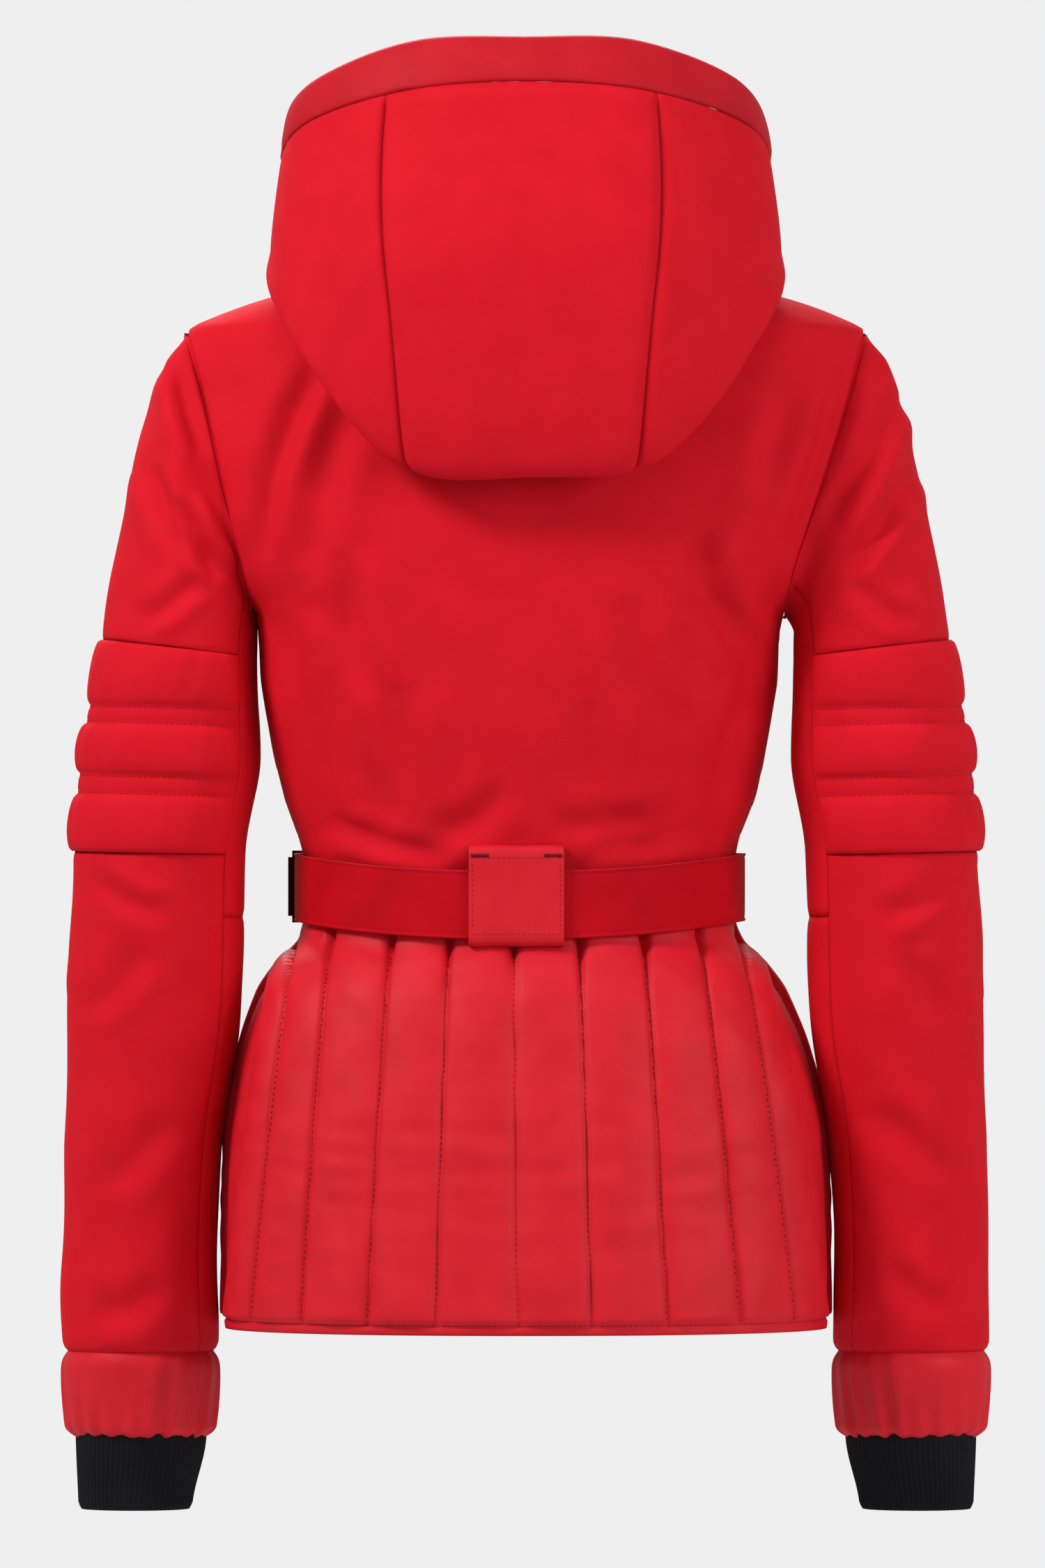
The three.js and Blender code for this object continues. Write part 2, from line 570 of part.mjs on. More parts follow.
const pullTab = (name, colour, length) => {
  const eye = 1.35;
  const side = new THREE.Shape();
  side.moveTo(0.7, 0);
  side.lineTo(0.7, -length);
  side.lineTo(-0.7, -length);
  side.lineTo(-0.7, 0);
  side.closePath();
  const shank = new THREE.ExtrudeGeometry(side, { depth: 4, bevelEnabled: false });
  shank.applyMatrix4(new THREE.Matrix4().makeBasis(new THREE.Vector3(0, 1, 0),
    new THREE.Vector3(0, 0, 1), new THREE.Vector3(1, 0, 0)));
  shank.translate(-2, 0, 0);
  const ring = new THREE.CylinderGeometry(eye, eye, 4, 16).rotateZ(Math.PI / 2);
  const hole = new THREE.CylinderGeometry(0.9, 0.9, 6, 16).rotateZ(Math.PI / 2);
  const grip = block(9, 2.2, length - 9, 0, 0, -(length + 9) / 2);
  const tab = cut(joined(shank, ring, grip), hole);
  tab.translate(0, slider.pivotY - 0.3, slider.pivotZ);
  return finish(name, tab, colour, 0.4, 0.4);
};

const frontZip = () => {
  const frame = new THREE.Group();
  const top = collarTopZ - 4;
  const low = hemZ + 8;
  const stretch = Math.hypot(1, frontLine.slope);
  const length = (top - low) * stretch;
  const middle = ((top + low) / 2) * stretch;
  frame.position.set(0, frontLine.y, 0);
  frame.rotation.x = -Math.atan(frontLine.slope);
  for (const [hand, side] of sides) {
    frame.add(finish(`${hand}_zip_tape`,
      block(frontTape.width, frontTape.thick, length, side * frontTape.x,
        tapeY + frontTape.thick / 2, middle), colours.tape));
    frame.add(finish(`${hand}_zip_teeth`,
      block(chain.half - 0.25, chain.thick - 0.4, length - 34, side * (chain.half + 0.25) / 2,
        tapeY - chain.thick / 2 - 0.1, middle + 3), colours.metal, 0.4, 0.8));
    frame.add(finish(`${hand}_top_stop`,
      block(stop.width, stop.deep, stop.tall, side * 1.5, tapeY - 1.4,
        top * stretch - stop.below), colours.metal, 0.4, 0.9));
  }
  frame.add(finish('zip_box', block(8.6, 2.2, 8, 0, tapeY - 1.4, low * stretch + 5),
    colours.metal, 0.4, 0.9));
  frame.add(finish('zip_pin', block(1.6, 2, 8, 1.5, tapeY - 1.35, low * stretch + 13.6),
    colours.metal, 0.4, 0.9));
  frame.add(finish('wind_placket', block(placket.width, placket.thick,
    length - placket.shorter, 0, placket.y, middle), colours.satin));
  const runner = new THREE.Group();
  runner.position.z = top * stretch - 16;
  runner.add(zipSlider('zip_slider', colours.metal), pullTab('zip_pull', colours.metal, 34));
  frame.add(runner);
  return frame;
};

const pocket = { upperX: 84, lowerX: 94, topZ: -190, length: 120, stand: 8.5, tape: 17 };
// A hand pocket's zip stands on the front panel, with its upper end nearer to the middle.
const pocketZip = (hand, side) => {
  const { length } = pocket;
  const onPanel = (x, z) => torsoAt(-angleAtX(x, z), z);
  const upper = onPanel(pocket.upperX, pocket.topZ);
  const lower = onPanel(pocket.lowerX, pocket.topZ - length);
  for (const end of [upper, lower]) end.x *= side;
  const along = upper.clone().sub(lower).normalize();
  const nearby = onPanel(70, -260);
  nearby.x *= side;
  const across = nearby.sub(upper.clone().lerp(lower, 0.5)).multiplyScalar(side);
  const out = along.clone().cross(across).normalize();
  if (out.y > 0) out.negate();
  const frame = new THREE.Group();
  const right = out.clone().cross(along);
  frame.setRotationFromMatrix(new THREE.Matrix4().makeBasis(right.negate(), out.clone().negate(),
    along));
  frame.position.copy(upper).lerp(lower, 0.5).addScaledVector(out, pocket.stand);
  const strip = joined(
    block(pocket.tape, 1.2, length + 16, 0, tapeY + 0.6, 0),
    block(2 * chain.half - 0.5, chain.thick - 0.4, length, 0, tapeY - chain.thick / 2 + 0.2, 0),
  );
  frame.add(finish(`${hand}_pocket_zip`, strip, colours.tape));
  const runner = new THREE.Group();
  runner.position.z = length / 2 - 10;
  runner.add(zipSlider(`${hand}_pocket_slider`, colours.metal),
    pullTab(`${hand}_pocket_pull`, colours.metal, 26));
  frame.add(runner);
  return frame;
};

// Assembly
const jacket = new THREE.Group();
jacket.position.set(0, -loopMid.y, -loopMid.z);
jacket.add(...bodyPanels(), ...peplumPanels(), ...collar(), hangerLoop(), ...hoodPanels());
for (const [hand, side] of sides) {
  jacket.add(...sleeve(hand, side), pocketZip(hand, side));
}
jacket.add(...belt(), buckleParts(), frontZip());

export default jacket;
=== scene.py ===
import bisect
import math
import bmesh
import bpy
import numpy as np
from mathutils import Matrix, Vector, noise


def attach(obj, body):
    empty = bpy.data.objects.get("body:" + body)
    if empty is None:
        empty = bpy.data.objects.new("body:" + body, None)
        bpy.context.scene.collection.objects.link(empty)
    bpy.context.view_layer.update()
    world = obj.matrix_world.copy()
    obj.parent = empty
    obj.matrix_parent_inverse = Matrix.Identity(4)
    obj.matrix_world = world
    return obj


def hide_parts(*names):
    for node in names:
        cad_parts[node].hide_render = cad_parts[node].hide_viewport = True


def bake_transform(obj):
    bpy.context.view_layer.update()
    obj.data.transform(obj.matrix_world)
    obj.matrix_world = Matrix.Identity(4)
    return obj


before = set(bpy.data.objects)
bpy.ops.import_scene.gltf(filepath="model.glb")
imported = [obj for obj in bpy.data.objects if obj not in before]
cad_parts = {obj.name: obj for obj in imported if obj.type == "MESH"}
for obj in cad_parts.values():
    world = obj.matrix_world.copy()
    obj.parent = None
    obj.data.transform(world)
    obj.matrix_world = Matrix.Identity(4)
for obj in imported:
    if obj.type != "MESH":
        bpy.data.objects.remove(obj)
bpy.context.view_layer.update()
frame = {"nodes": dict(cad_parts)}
print("frame loaded:", len(frame["nodes"]), "nodes")

# The cutting surfaces are worked in millimetres from the neck, front towards -y, wearer's left at +x.
jacket = {
    "loopY": 35, "loopZ": 28, "roundness": 2.3,
    "neckZ": 12, "collarTopZ": 58, "waistZ": -366, "hemZ": -630,
    "armTopX": 206, "armTopZ": -26, "armLowX": 160, "armLowZ": -199, "armholeGap": 0.2,
    "frontY": -87.5, "frontSlope": 0.083, "zipEdgeX": 7,
}
cloth = 1.8
seamGap = 0.5


def mix(a, b, t):
    return a + (b - a) * t


def smooth(t):
    t = min(1, max(0, t))
    return t * t * (3 - 2 * t)


def power(value, exponent):
    return math.copysign(abs(value) ** exponent, value)


def through(keys):
    # smooth curve through (position, value) keys, with no overshoot
    keys = sorted(keys)
    places = [key[0] for key in keys]
    slopes = [0] * len(keys)
    for i in range(1, len(keys) - 1):
        before = (keys[i][1] - keys[i - 1][1]) / (keys[i][0] - keys[i - 1][0])
        after = (keys[i + 1][1] - keys[i][1]) / (keys[i + 1][0] - keys[i][0])
        slopes[i] = 0 if before * after <= 0 else 2 * before * after / (before + after)

    def at(position):
        if position <= places[0]:
            return keys[0][1]
        if position >= places[-1]:
            return keys[-1][1]
        i = bisect.bisect_left(places, position) - 1
        span = places[i + 1] - places[i]
        t = (position - places[i]) / span
        rise = keys[i + 1][1] - keys[i][1]
        a = slopes[i] * span - rise
        b = rise - slopes[i + 1] * span
        return keys[i][1] + rise * t + t * (1 - t) * (a * (1 - t) + b * t)
    return at


def place(point):
    return Vector((point[0], point[1] - jacket["loopY"], point[2] - jacket["loopZ"])) / 1000


halfWidthAt = through([
    (60, 73), (30, 76), (12, 82), (4, 114), (-4, 150), (-9, 168), (-16, 187), (-26, 206),
    (-50, 211), (-80, 211), (-110, 206), (-140, 197), (-170, 182), (-199, 160), (-241, 154),
    (-279, 147), (-310, 140), (-340, 132), (-362, 129), (-384, 130), (-395, 134), (-410, 149),
    (-427, 161), (-472, 176), (-515, 183), (-569, 185), (-630, 185)])
backAt = through([
    (60, 45), (12, 50), (4, 52), (-4, 56), (-16, 64), (-26, 70), (-60, 84), (-100, 95),
    (-150, 104), (-200, 107), (-250, 104), (-300, 95), (-340, 87), (-362, 84), (-384, 84.5),
    (-396, 86), (-410, 96), (-430, 107), (-470, 116), (-520, 123), (-630, 130)])
leanAt = through([(-60, 0), (-200, 8), (-400, 7), (-515, 0)])


def frontAt(z):
    return jacket["frontY"] + jacket["frontSlope"] * z


def torsoAt(angle, z, grow=0, frontGrow=None):
    back = backAt(z) + grow
    front = frontAt(z) - (grow if frontGrow is None else frontGrow)
    y = (back + front) / 2 + (back - front) / 2 * power(math.sin(angle), 2 / jacket["roundness"])
    x = (halfWidthAt(z) + grow) * power(math.cos(angle), 2 / jacket["roundness"])
    return Vector((x + leanAt(z) * (y - front) / (back - front), y, z))


def angleAtX(x, z):
    return math.acos(min(1, x / halfWidthAt(z)) ** (jacket["roundness"] / 2))


def armholeX(z):
    t = (z - jacket["armLowZ"]) / (jacket["armTopZ"] - jacket["armLowZ"])
    return mix(jacket["armLowX"], jacket["armTopX"], t)


def sideAngle(z):
    edge = seamGap / 2 / halfWidthAt(z)
    if z >= jacket["armTopZ"] or z <= jacket["armLowZ"]:
        return edge
    return max(edge, angleAtX(armholeX(z) - jacket["armholeGap"] / 2, z))


def bodyZ(v):
    rows = ((0.1, jacket["neckZ"] - seamGap, jacket["armTopZ"]),
            (0.56, jacket["armTopZ"], jacket["armLowZ"]),
            (1, jacket["armLowZ"], jacket["waistZ"] + seamGap))
    start = 0
    for end, fromZ, toZ in rows:
        if v <= end + 1e-9:
            return mix(fromZ, toZ, (v - start) / (end - start))
        start = end
    return rows[-1][2]


def backAcross(zAt):
    def surface(u, v):
        z = zAt(v)
        return torsoAt(mix(math.pi - sideAngle(z), sideAngle(z), u), z)
    return surface


def frontAcross(side, zAt, edgeX=jacket["zipEdgeX"]):
    def surface(u, v):
        z = zAt(v)
        angle = mix(-sideAngle(z), -angleAtX(edgeX, z), u)
        return torsoAt(angle if side > 0 else -math.pi - angle, z)
    return surface


# Sleeves: each section is named by the height of its outermost point
sleeveShape = {
    "outX": through([(-26, 206), (-45, 219), (-78, 230), (-125, 241), (-172, 251), (-213, 257),
                     (-278, 268), (-341, 274), (-440, 277.5), (-526, 280), (-646, 282),
                     (-699, 279), (-742, 278)]),
    "inX": through([(-26, 160), (-78, 163), (-213, 163), (-280, 161), (-341, 170), (-430, 172),
                    (-526, 185), (-590, 188), (-646, 187), (-699, 190), (-742, 198)]),
    "inZ": through([(-26, -199), (-78, -208), (-125, -214), (-172, -219), (-213, -224),
                    (-278, -282), (-341, -343), (-440, -440), (-646, -646), (-742, -742),
                    (-800, -800)]),
    "depth": through([(-26, 54), (-78, 62), (-213, 62), (-341, 61), (-440, 58), (-526, 54),
                      (-646, 51), (-699, 44), (-742, 35)]),
    "midY": through([(-26, 1), (-213, 5), (-310, 8), (-430, 2), (-526, -10), (-646, -28),
                     (-742, -38)]),
    "padTopZ": -213, "padLowZ": -341, "underSeamZ": -380, "hemZ": -646, "cuffLowZ": -699,
    "knitLowZ": -742, "backSeam": 2.48, "frontSeam": -1.92, "seam": 0.002,
}


def sleeveAt(side, angle, outZ, grow=0):
    shape = sleeveShape
    outX, inX, inZ = shape["outX"](outZ), shape["inX"](outZ), shape["inZ"](outZ)
    half = math.hypot(outX - inX, outZ - inZ) / 2
    reach = (half + grow) / half * math.cos(angle)
    x = (outX + inX + (outX - inX) * reach) / 2 + jacket["armholeGap"] / 2
    z = (outZ + inZ + (outZ - inZ) * reach) / 2
    roundY = shape["midY"](outZ) + (shape["depth"](outZ) + grow) * math.sin(angle)
    hold = max(0, 1 - (jacket["armTopZ"] - outZ) / 60) ** 2
    if hold == 0:
        return Vector((side * x, roundY, z))
    seamZ = min(jacket["armTopZ"] - 0.01, max(jacket["armLowZ"] + 0.01, z))
    seamAngle = angleAtX(armholeX(seamZ), seamZ)
    seamY = torsoAt(seamAngle if math.sin(angle) > 0 else -seamAngle, seamZ, grow).y
    y = mix(roundY, seamY, hold)
    lean = leanAt(seamZ) * (y - frontAt(seamZ)) / (backAt(seamZ) - frontAt(seamZ))
    return Vector((side * x + lean * hold, y, z))


# Hood: rails from the right throat, past the back, to the left throat
def spline(points, t):
    # centripetal curve through points, t from 0 to 1
    last = len(points) - 1
    i = min(last - 1, int(t * last))
    w = t * last - i
    p1, p2 = points[i], points[i + 1]
    p0 = points[i - 1] if i > 0 else p1 * 2 - p2
    p3 = points[i + 2] if i + 2 <= last else p2 * 2 - p1
    d0, d1, d2 = (max(1e-4, (b - a).length ** 0.5) for a, b in ((p0, p1), (p1, p2), (p2, p3)))
    m1 = ((p1 - p0) / d0 - (p2 - p0) / (d0 + d1) + (p2 - p1) / d1) * d1
    m2 = ((p2 - p1) / d1 - (p3 - p1) / (d1 + d2) + (p3 - p2) / d2) * d1
    a = p1 * 2 - p2 * 2 + m1 + m2
    b = p2 * 3 - p1 * 3 - m1 * 2 - m2
    return a * w ** 3 + b * w ** 2 + m1 * w + p1


def rail(points):
    right = [Vector((-x, y, z)) for x, y, z in points]
    left = [Vector(p) for p in reversed(points[:-1])]
    return right + left


hoodRails = {
    "edge": rail([(84, -82, 50), (124, -52, 72), (143, -4, 100), (128, 56, 124), (66, 92, 146),
                  (0, 98, 148)]),
    "brimSeam": rail([(88, -82, 30), (130, -54, 48), (148, -4, 74), (133, 64, 97),
                      (72, 108, 115), (0, 116, 120)]),
    "belly": rail([(88, -80, 22), (128, -50, 28), (152, 0, 28), (142, 84, 10), (82, 138, 0),
                   (0, 146, 0)]),
    "fold": rail([(84, -78, 16), (120, -44, 11), (153, 16, 9), (134, 100, -42),
                  (78, 126, -108), (0, 130, -115)]),
    "neck": rail([(68, -77, 19), (78, -44, 19), (86, 0, 19), (70, 38, 19), (40, 54, 19),
                  (0, 59, 19)]),
}


def hoodAt(u, v):
    names = ("brimSeam", "belly", "fold", "neck")
    return spline([spline(hoodRails[name], u) for name in names], v)


def setValues(node, values):
    for socket, value in values.items():
        node.inputs[socket].default_value = value


def addNode(tree, kind, values={}, **settings):
    node = tree.nodes.new("ShaderNode" + kind)
    for setting, value in settings.items():
        setattr(node, setting, value)
    setValues(node, values)
    return node


# a wave scale of about 318 gives one thread a millimetre
grainLook = {"oneMillimetre": 318, "waver": 0.6, "fuzz": 900}


def clothGrainGroup():
    # fine crossed threads on the piece's own UVs, with slow mottling on object coordinates
    group = bpy.data.node_groups.new("clothGrain", "ShaderNodeTree")
    sockets, link = group.interface, group.links.new
    for socket, start in (("Pitch", 1.1), ("Slant", 0), ("Mottle Size", 40)):
        sockets.new_socket(socket, in_out="INPUT", socket_type="NodeSocketFloat").default_value = start
    for socket in ("Threads", "Mottle", "Fuzz"):
        sockets.new_socket(socket, in_out="OUTPUT", socket_type="NodeSocketFloat")
    given, result = group.nodes.new("NodeGroupInput"), group.nodes.new("NodeGroupOutput")
    where = addNode(group, "TexCoord")
    turn = addNode(group, "VectorRotate", rotation_type="Z_AXIS")
    link(where.outputs["UV"], turn.inputs["Vector"])
    link(given.outputs["Slant"], turn.inputs["Angle"])
    scale = addNode(group, "Math", {0: grainLook["oneMillimetre"]}, operation="DIVIDE")
    link(given.outputs["Pitch"], scale.inputs[1])
    threads = addNode(group, "Math", operation="MULTIPLY")
    for number, direction in enumerate("XY"):
        wave = addNode(group, "TexWave", {"Distortion": grainLook["waver"], "Detail": 1},
                       bands_direction=direction)
        link(turn.outputs["Vector"], wave.inputs["Vector"])
        link(scale.outputs[0], wave.inputs["Scale"])
        link(wave.outputs["Fac"], threads.inputs[number])
    link(threads.outputs[0], result.inputs["Threads"])
    mottle = addNode(group, "TexNoise", {"Detail": 4})
    link(given.outputs["Mottle Size"], mottle.inputs["Scale"])
    fuzz = addNode(group, "TexNoise", {"Scale": grainLook["fuzz"], "Detail": 2})
    for texture, socket in ((mottle, "Mottle"), (fuzz, "Fuzz")):
        link(where.outputs["Object"], texture.inputs["Vector"])
        link(texture.outputs["Fac"], result.inputs[socket])
    return group


clothGrain = clothGrainGroup()


def newMaterial(name):
    material = bpy.data.materials.new(name)
    material.use_nodes = True
    return material, material.node_tree, material.node_tree.nodes["Principled BSDF"]


def mixColour(tree, factor, low, high):
    blendNode = addNode(tree, "Mix", data_type="RGBA")
    setValues(blendNode, {6: (*low, 1), 7: (*high, 1)})
    tree.links.new(factor, blendNode.inputs[0])
    return blendNode.outputs[2]


def varyRoughness(tree, shader, factor, low, high):
    rough = addNode(tree, "MapRange", {"To Min": low, "To Max": high})
    tree.links.new(factor, rough.inputs["Value"])
    tree.links.new(rough.outputs["Result"], shader.inputs["Roughness"])


def clothMaterial(name, look):
    material, tree, shader = newMaterial(name)
    join = tree.links.new
    grain = tree.nodes.new("ShaderNodeGroup")
    grain.node_tree = clothGrain
    setValues(grain, {"Pitch": look["pitch"], "Slant": look.get("slant", 0),
                      "Mottle Size": look.get("mottleSize", 40)})
    spread = addNode(tree, "MapRange", {"From Min": 0.3, "From Max": 0.7})
    join(grain.outputs["Mottle"], spread.inputs["Value"])
    darken = addNode(tree, "Mix", data_type="RGBA", blend_type="MULTIPLY")
    setValues(darken, {0: look.get("threadShow", 0.12)})
    join(mixColour(tree, spread.outputs["Result"], look["shade"], look["colour"]), darken.inputs[6])
    join(grain.outputs["Threads"], darken.inputs[7])
    join(darken.outputs[2], shader.inputs["Base Color"])
    varyRoughness(tree, shader, grain.outputs["Fuzz"], look["roughness"] - 0.06,
                  look["roughness"] + 0.06)
    height = addNode(tree, "Math", operation="ADD")
    join(grain.outputs["Threads"], height.inputs[0])
    join(grain.outputs["Fuzz"], height.inputs[1])
    bump = addNode(tree, "Bump", {"Strength": look.get("bump", 0.25),
                                  "Distance": look.get("bumpHeight", 0.0002)})
    join(height.outputs[0], bump.inputs["Height"])
    join(bump.outputs["Normal"], shader.inputs["Normal"])
    setValues(shader, {"Specular IOR Level": look.get("specular", 0.25),
                       "Sheen Weight": look.get("sheen", 0.1), "Sheen Roughness": 0.5,
                       "Sheen Tint": (*look["colour"], 1)})
    return material


def metalMaterial(name, look):
    material, tree, shader = newMaterial(name)
    where = addNode(tree, "TexCoord")
    scuffs = addNode(tree, "TexNoise", {"Scale": 160, "Detail": 6})
    tree.links.new(where.outputs["Object"], scuffs.inputs["Vector"])
    worn = mixColour(tree, scuffs.outputs["Fac"], look["colour"], look["worn"])
    tree.links.new(worn, shader.inputs["Base Color"])
    varyRoughness(tree, shader, scuffs.outputs["Fac"], look["roughness"] - 0.1,
                  look["roughness"] + 0.15)
    setValues(shader, {"Metallic": look["metallic"]})
    return material


materials = {
    "softshell": clothMaterial("softshellRed", {
        "colour": (0.70, 0.0065, 0.019), "shade": (0.64, 0.005, 0.015), "roughness": 0.82,
        "pitch": 1.0, "slant": 0.6, "specular": 0.12, "sheen": 0.12, "threadShow": 0.08}),
    "satin": clothMaterial("satinRed", {
        "colour": (0.68, 0.011, 0.024), "shade": (0.60, 0.007, 0.017), "roughness": 0.58,
        "pitch": 0.7, "specular": 0.2, "sheen": 0.04, "threadShow": 0.05, "bump": 0.12}),
    # a darker copy of the satin for the hood brim: its colour is painted shade, which holds down the
    # light falling on the brim's upturned face
    "shadedBrimSatin": clothMaterial("satinBrim", {
        "colour": (0.55, 0.008, 0.019), "shade": (0.48, 0.006, 0.014), "roughness": 0.62,
        "pitch": 0.7, "specular": 0.12, "sheen": 0.02, "threadShow": 0.05, "bump": 0.12}),
    "webbing": clothMaterial("webbingRed", {
        "colour": (0.60, 0.002, 0.011), "shade": (0.50, 0.002, 0.009), "roughness": 0.75,
        "pitch": 1.6, "slant": 0.785, "specular": 0.08, "sheen": 0.02, "threadShow": 0.15,
        "bump": 0.4}),
    "tape": clothMaterial("tapeRed", {
        "colour": (0.46, 0.006, 0.014), "shade": (0.38, 0.005, 0.011), "roughness": 0.7,
        "pitch": 1.2, "slant": 0.785, "threadShow": 0.3, "bump": 0.5}),
    "lining": clothMaterial("liningRed", {
        "colour": (0.33, 0.010, 0.016), "shade": (0.29, 0.008, 0.013), "roughness": 0.6,
        "pitch": 0.8, "threadShow": 0.1}),
    "fleece": clothMaterial("fleeceRed", {
        "colour": (0.30, 0.010, 0.016), "shade": (0.22, 0.006, 0.010), "roughness": 0.95,
        "pitch": 2.2, "sheen": 0.5, "threadShow": 0.2, "bump": 0.8, "bumpHeight": 0.0006,
        "mottleSize": 400}),
    "knit": clothMaterial("knitBlack", {
        "colour": (0.0075, 0.0075, 0.010), "shade": (0.004, 0.004, 0.006), "roughness": 0.95,
        "pitch": 1.4, "sheen": 0.3, "threadShow": 0.5, "bump": 0.9, "bumpHeight": 0.0004}),
    "thread": clothMaterial("threadRed", {
        "colour": (0.62, 0.008, 0.020), "shade": (0.50, 0.006, 0.014), "roughness": 0.6,
        "pitch": 0.5, "threadShow": 0.3}),
    # pale thread for the belt's top edge: real stitches whose light colour is a painted highlight,
    # where the top edge faces the light
    "edgeHighlightThread": clothMaterial("threadLight", {
        "colour": (0.74, 0.055, 0.070), "shade": (0.62, 0.030, 0.045), "roughness": 0.6,
        "pitch": 0.5, "threadShow": 0.2}),
    "darkThread": clothMaterial("threadDark", {
        "colour": (0.26, 0.003, 0.010), "shade": (0.18, 0.002, 0.006), "roughness": 0.7,
        "pitch": 0.5, "threadShow": 0.3}),
    "black_metal": metalMaterial("lacqueredMetal", {
        "colour": (0.008, 0.008, 0.009), "worn": (0.03, 0.03, 0.032), "roughness": 0.25,
        "metallic": 0.6}),
    "zip_metal": metalMaterial("darkZipMetal", {
        "colour": (0.03, 0.03, 0.033), "worn": (0.10, 0.10, 0.105), "roughness": 0.35,
        "metallic": 0.9}),
}
print("materials made:", len(materials))


def meshObject(name, mesh):
    # turns a bmesh into an object of the scene
    data = bpy.data.meshes.new(name)
    mesh.to_mesh(data)
    mesh.free()
    piece = bpy.data.objects.new(name, data)
    bpy.context.scene.collection.objects.link(piece)
    return piece


def shadeSmooth(piece):
    for polygon in piece.data.polygons:
        polygon.use_smooth = True


def finishWith(piece, slotName, body=None, materialName=None):
    piece.data.materials.clear()
    piece.data.materials.append(materials[materialName or slotName])
    if body:
        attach(piece, body)
    return piece


def settle(piece):
    # applies the piece's modifiers, keeping its attributes
    graph = bpy.context.evaluated_depsgraph_get()
    graph.update()
    mesh = bpy.data.meshes.new_from_object(piece.evaluated_get(graph), preserve_all_data_layers=True,
                                           depsgraph=graph)
    piece.modifiers.clear()
    piece.data = mesh
    return piece


def lengths(points, axis):
    steps = np.linalg.norm(np.diff(points, axis=axis), axis=2)
    total = np.cumsum(steps, axis=axis)
    return np.concatenate([np.zeros_like(np.take(total, [0], axis=axis)), total], axis=axis)


def layOut(surface, columns, rows, inside, closed=False):
    # the smooth surface as a field of points, with outward normals and distances to its edges
    points = np.array([[tuple(surface(i / columns, j / rows)) for j in range(rows + 1)]
                       for i in range(columns + 1)])
    if closed:
        wrapped = np.concatenate([points[-2:-1], points, points[1:2]], axis=0)
        alongU = (wrapped[2:] - wrapped[:-2])
    else:
        alongU = np.gradient(points, axis=0)
    normals = np.cross(alongU, np.gradient(points, axis=1))
    normals /= np.maximum(1e-9, np.linalg.norm(normals, axis=2, keepdims=True))
    middle = (columns // 2, rows // 2)
    if np.dot(normals[middle], points[middle] - np.array(inside)) < 0:
        normals = -normals
    across, down = lengths(points, 0), lengths(points, 1)
    u, v = np.meshgrid(np.linspace(0, 1, columns + 1), np.linspace(0, 1, rows + 1), indexing="ij")
    side = np.minimum(across, across[-1:] - across)
    middles = (points[1:, 1:] - points[:-1, :-1], points[:-1, 1:] - points[1:, :-1])
    cut = {"width": across[-1].max(), "length": down[:, -1].max(),
           "area": np.linalg.norm(np.cross(*middles), axis=2).sum() / 2}
    return {"cut": cut, "points": points, "normals": normals, "across": across, "down": down,
            "u": u, "v": v, "side": side if not closed else np.full_like(side, 1e3),
            "end": np.minimum(down, down[:, -1:] - down)}


def makeSheet(name, surface, columns, rows, inside, relief=None, wall=cloth, closed=False):
    field = layOut(surface, columns, rows, inside, closed)
    if relief is not None:
        field["points"] = field["points"] + field["normals"] * relief(field)[..., None]
    mesh = bmesh.new()
    bmesh.ops.create_grid(mesh, x_segments=columns, y_segments=rows, size=0.5)
    along = mesh.verts.layers.float.new("along")
    uvLayer = mesh.loops.layers.uv.new("clothUv")
    spots = {}
    for vert in mesh.verts:
        i, j = round((vert.co.x + 0.5) * columns), round((vert.co.y + 0.5) * rows)
        spots[vert] = (i, j)
        vert[along] = j / rows
        vert.co = place(field["points"][i, j])
    for face in mesh.faces:
        for loop in face.loops:
            i, j = spots[loop.vert]
            loop[uvLayer].uv = (field["across"][i, j] / 1000, field["down"][i, j] / 1000)
    if closed:
        bmesh.ops.remove_doubles(mesh, verts=mesh.verts, dist=1e-6)
    mesh.normal_update()
    spot = next(vert for vert in mesh.verts if spots[vert] == (columns // 2, rows // 2))
    if spot.normal.dot(Vector(field["normals"][columns // 2, rows // 2])) < 0:
        bmesh.ops.reverse_faces(mesh, faces=mesh.faces)
    piece = meshObject(name, mesh)
    if wall:
        solidify = piece.modifiers.new("wall", "SOLIDIFY")
        solidify.thickness = wall / 1000
        solidify.offset = -1
        settle(piece)
    shadeSmooth(piece)
    return piece, field


def bendWith(piece, weightAt):
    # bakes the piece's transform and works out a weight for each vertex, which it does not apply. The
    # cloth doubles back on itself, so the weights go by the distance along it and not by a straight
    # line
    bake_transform(piece)
    along = np.zeros(len(piece.data.vertices), np.float32)
    piece.data.attributes["along"].data.foreach_get("value", along)
    weights = np.array([weightAt(value) for value in along], np.float32)


# Relief: how far the cloth stands out from its cutting surface, in millimetres
def sunk(depth):
    return lambda field: np.full(field["u"].shape, -depth)


def bell(distance, width):
    return np.exp(-(distance / width) ** 2)


def edgeRoll(field, depth=0.9, width=2.5):
    return -depth * bell(np.minimum(field["side"], field["end"]), width)


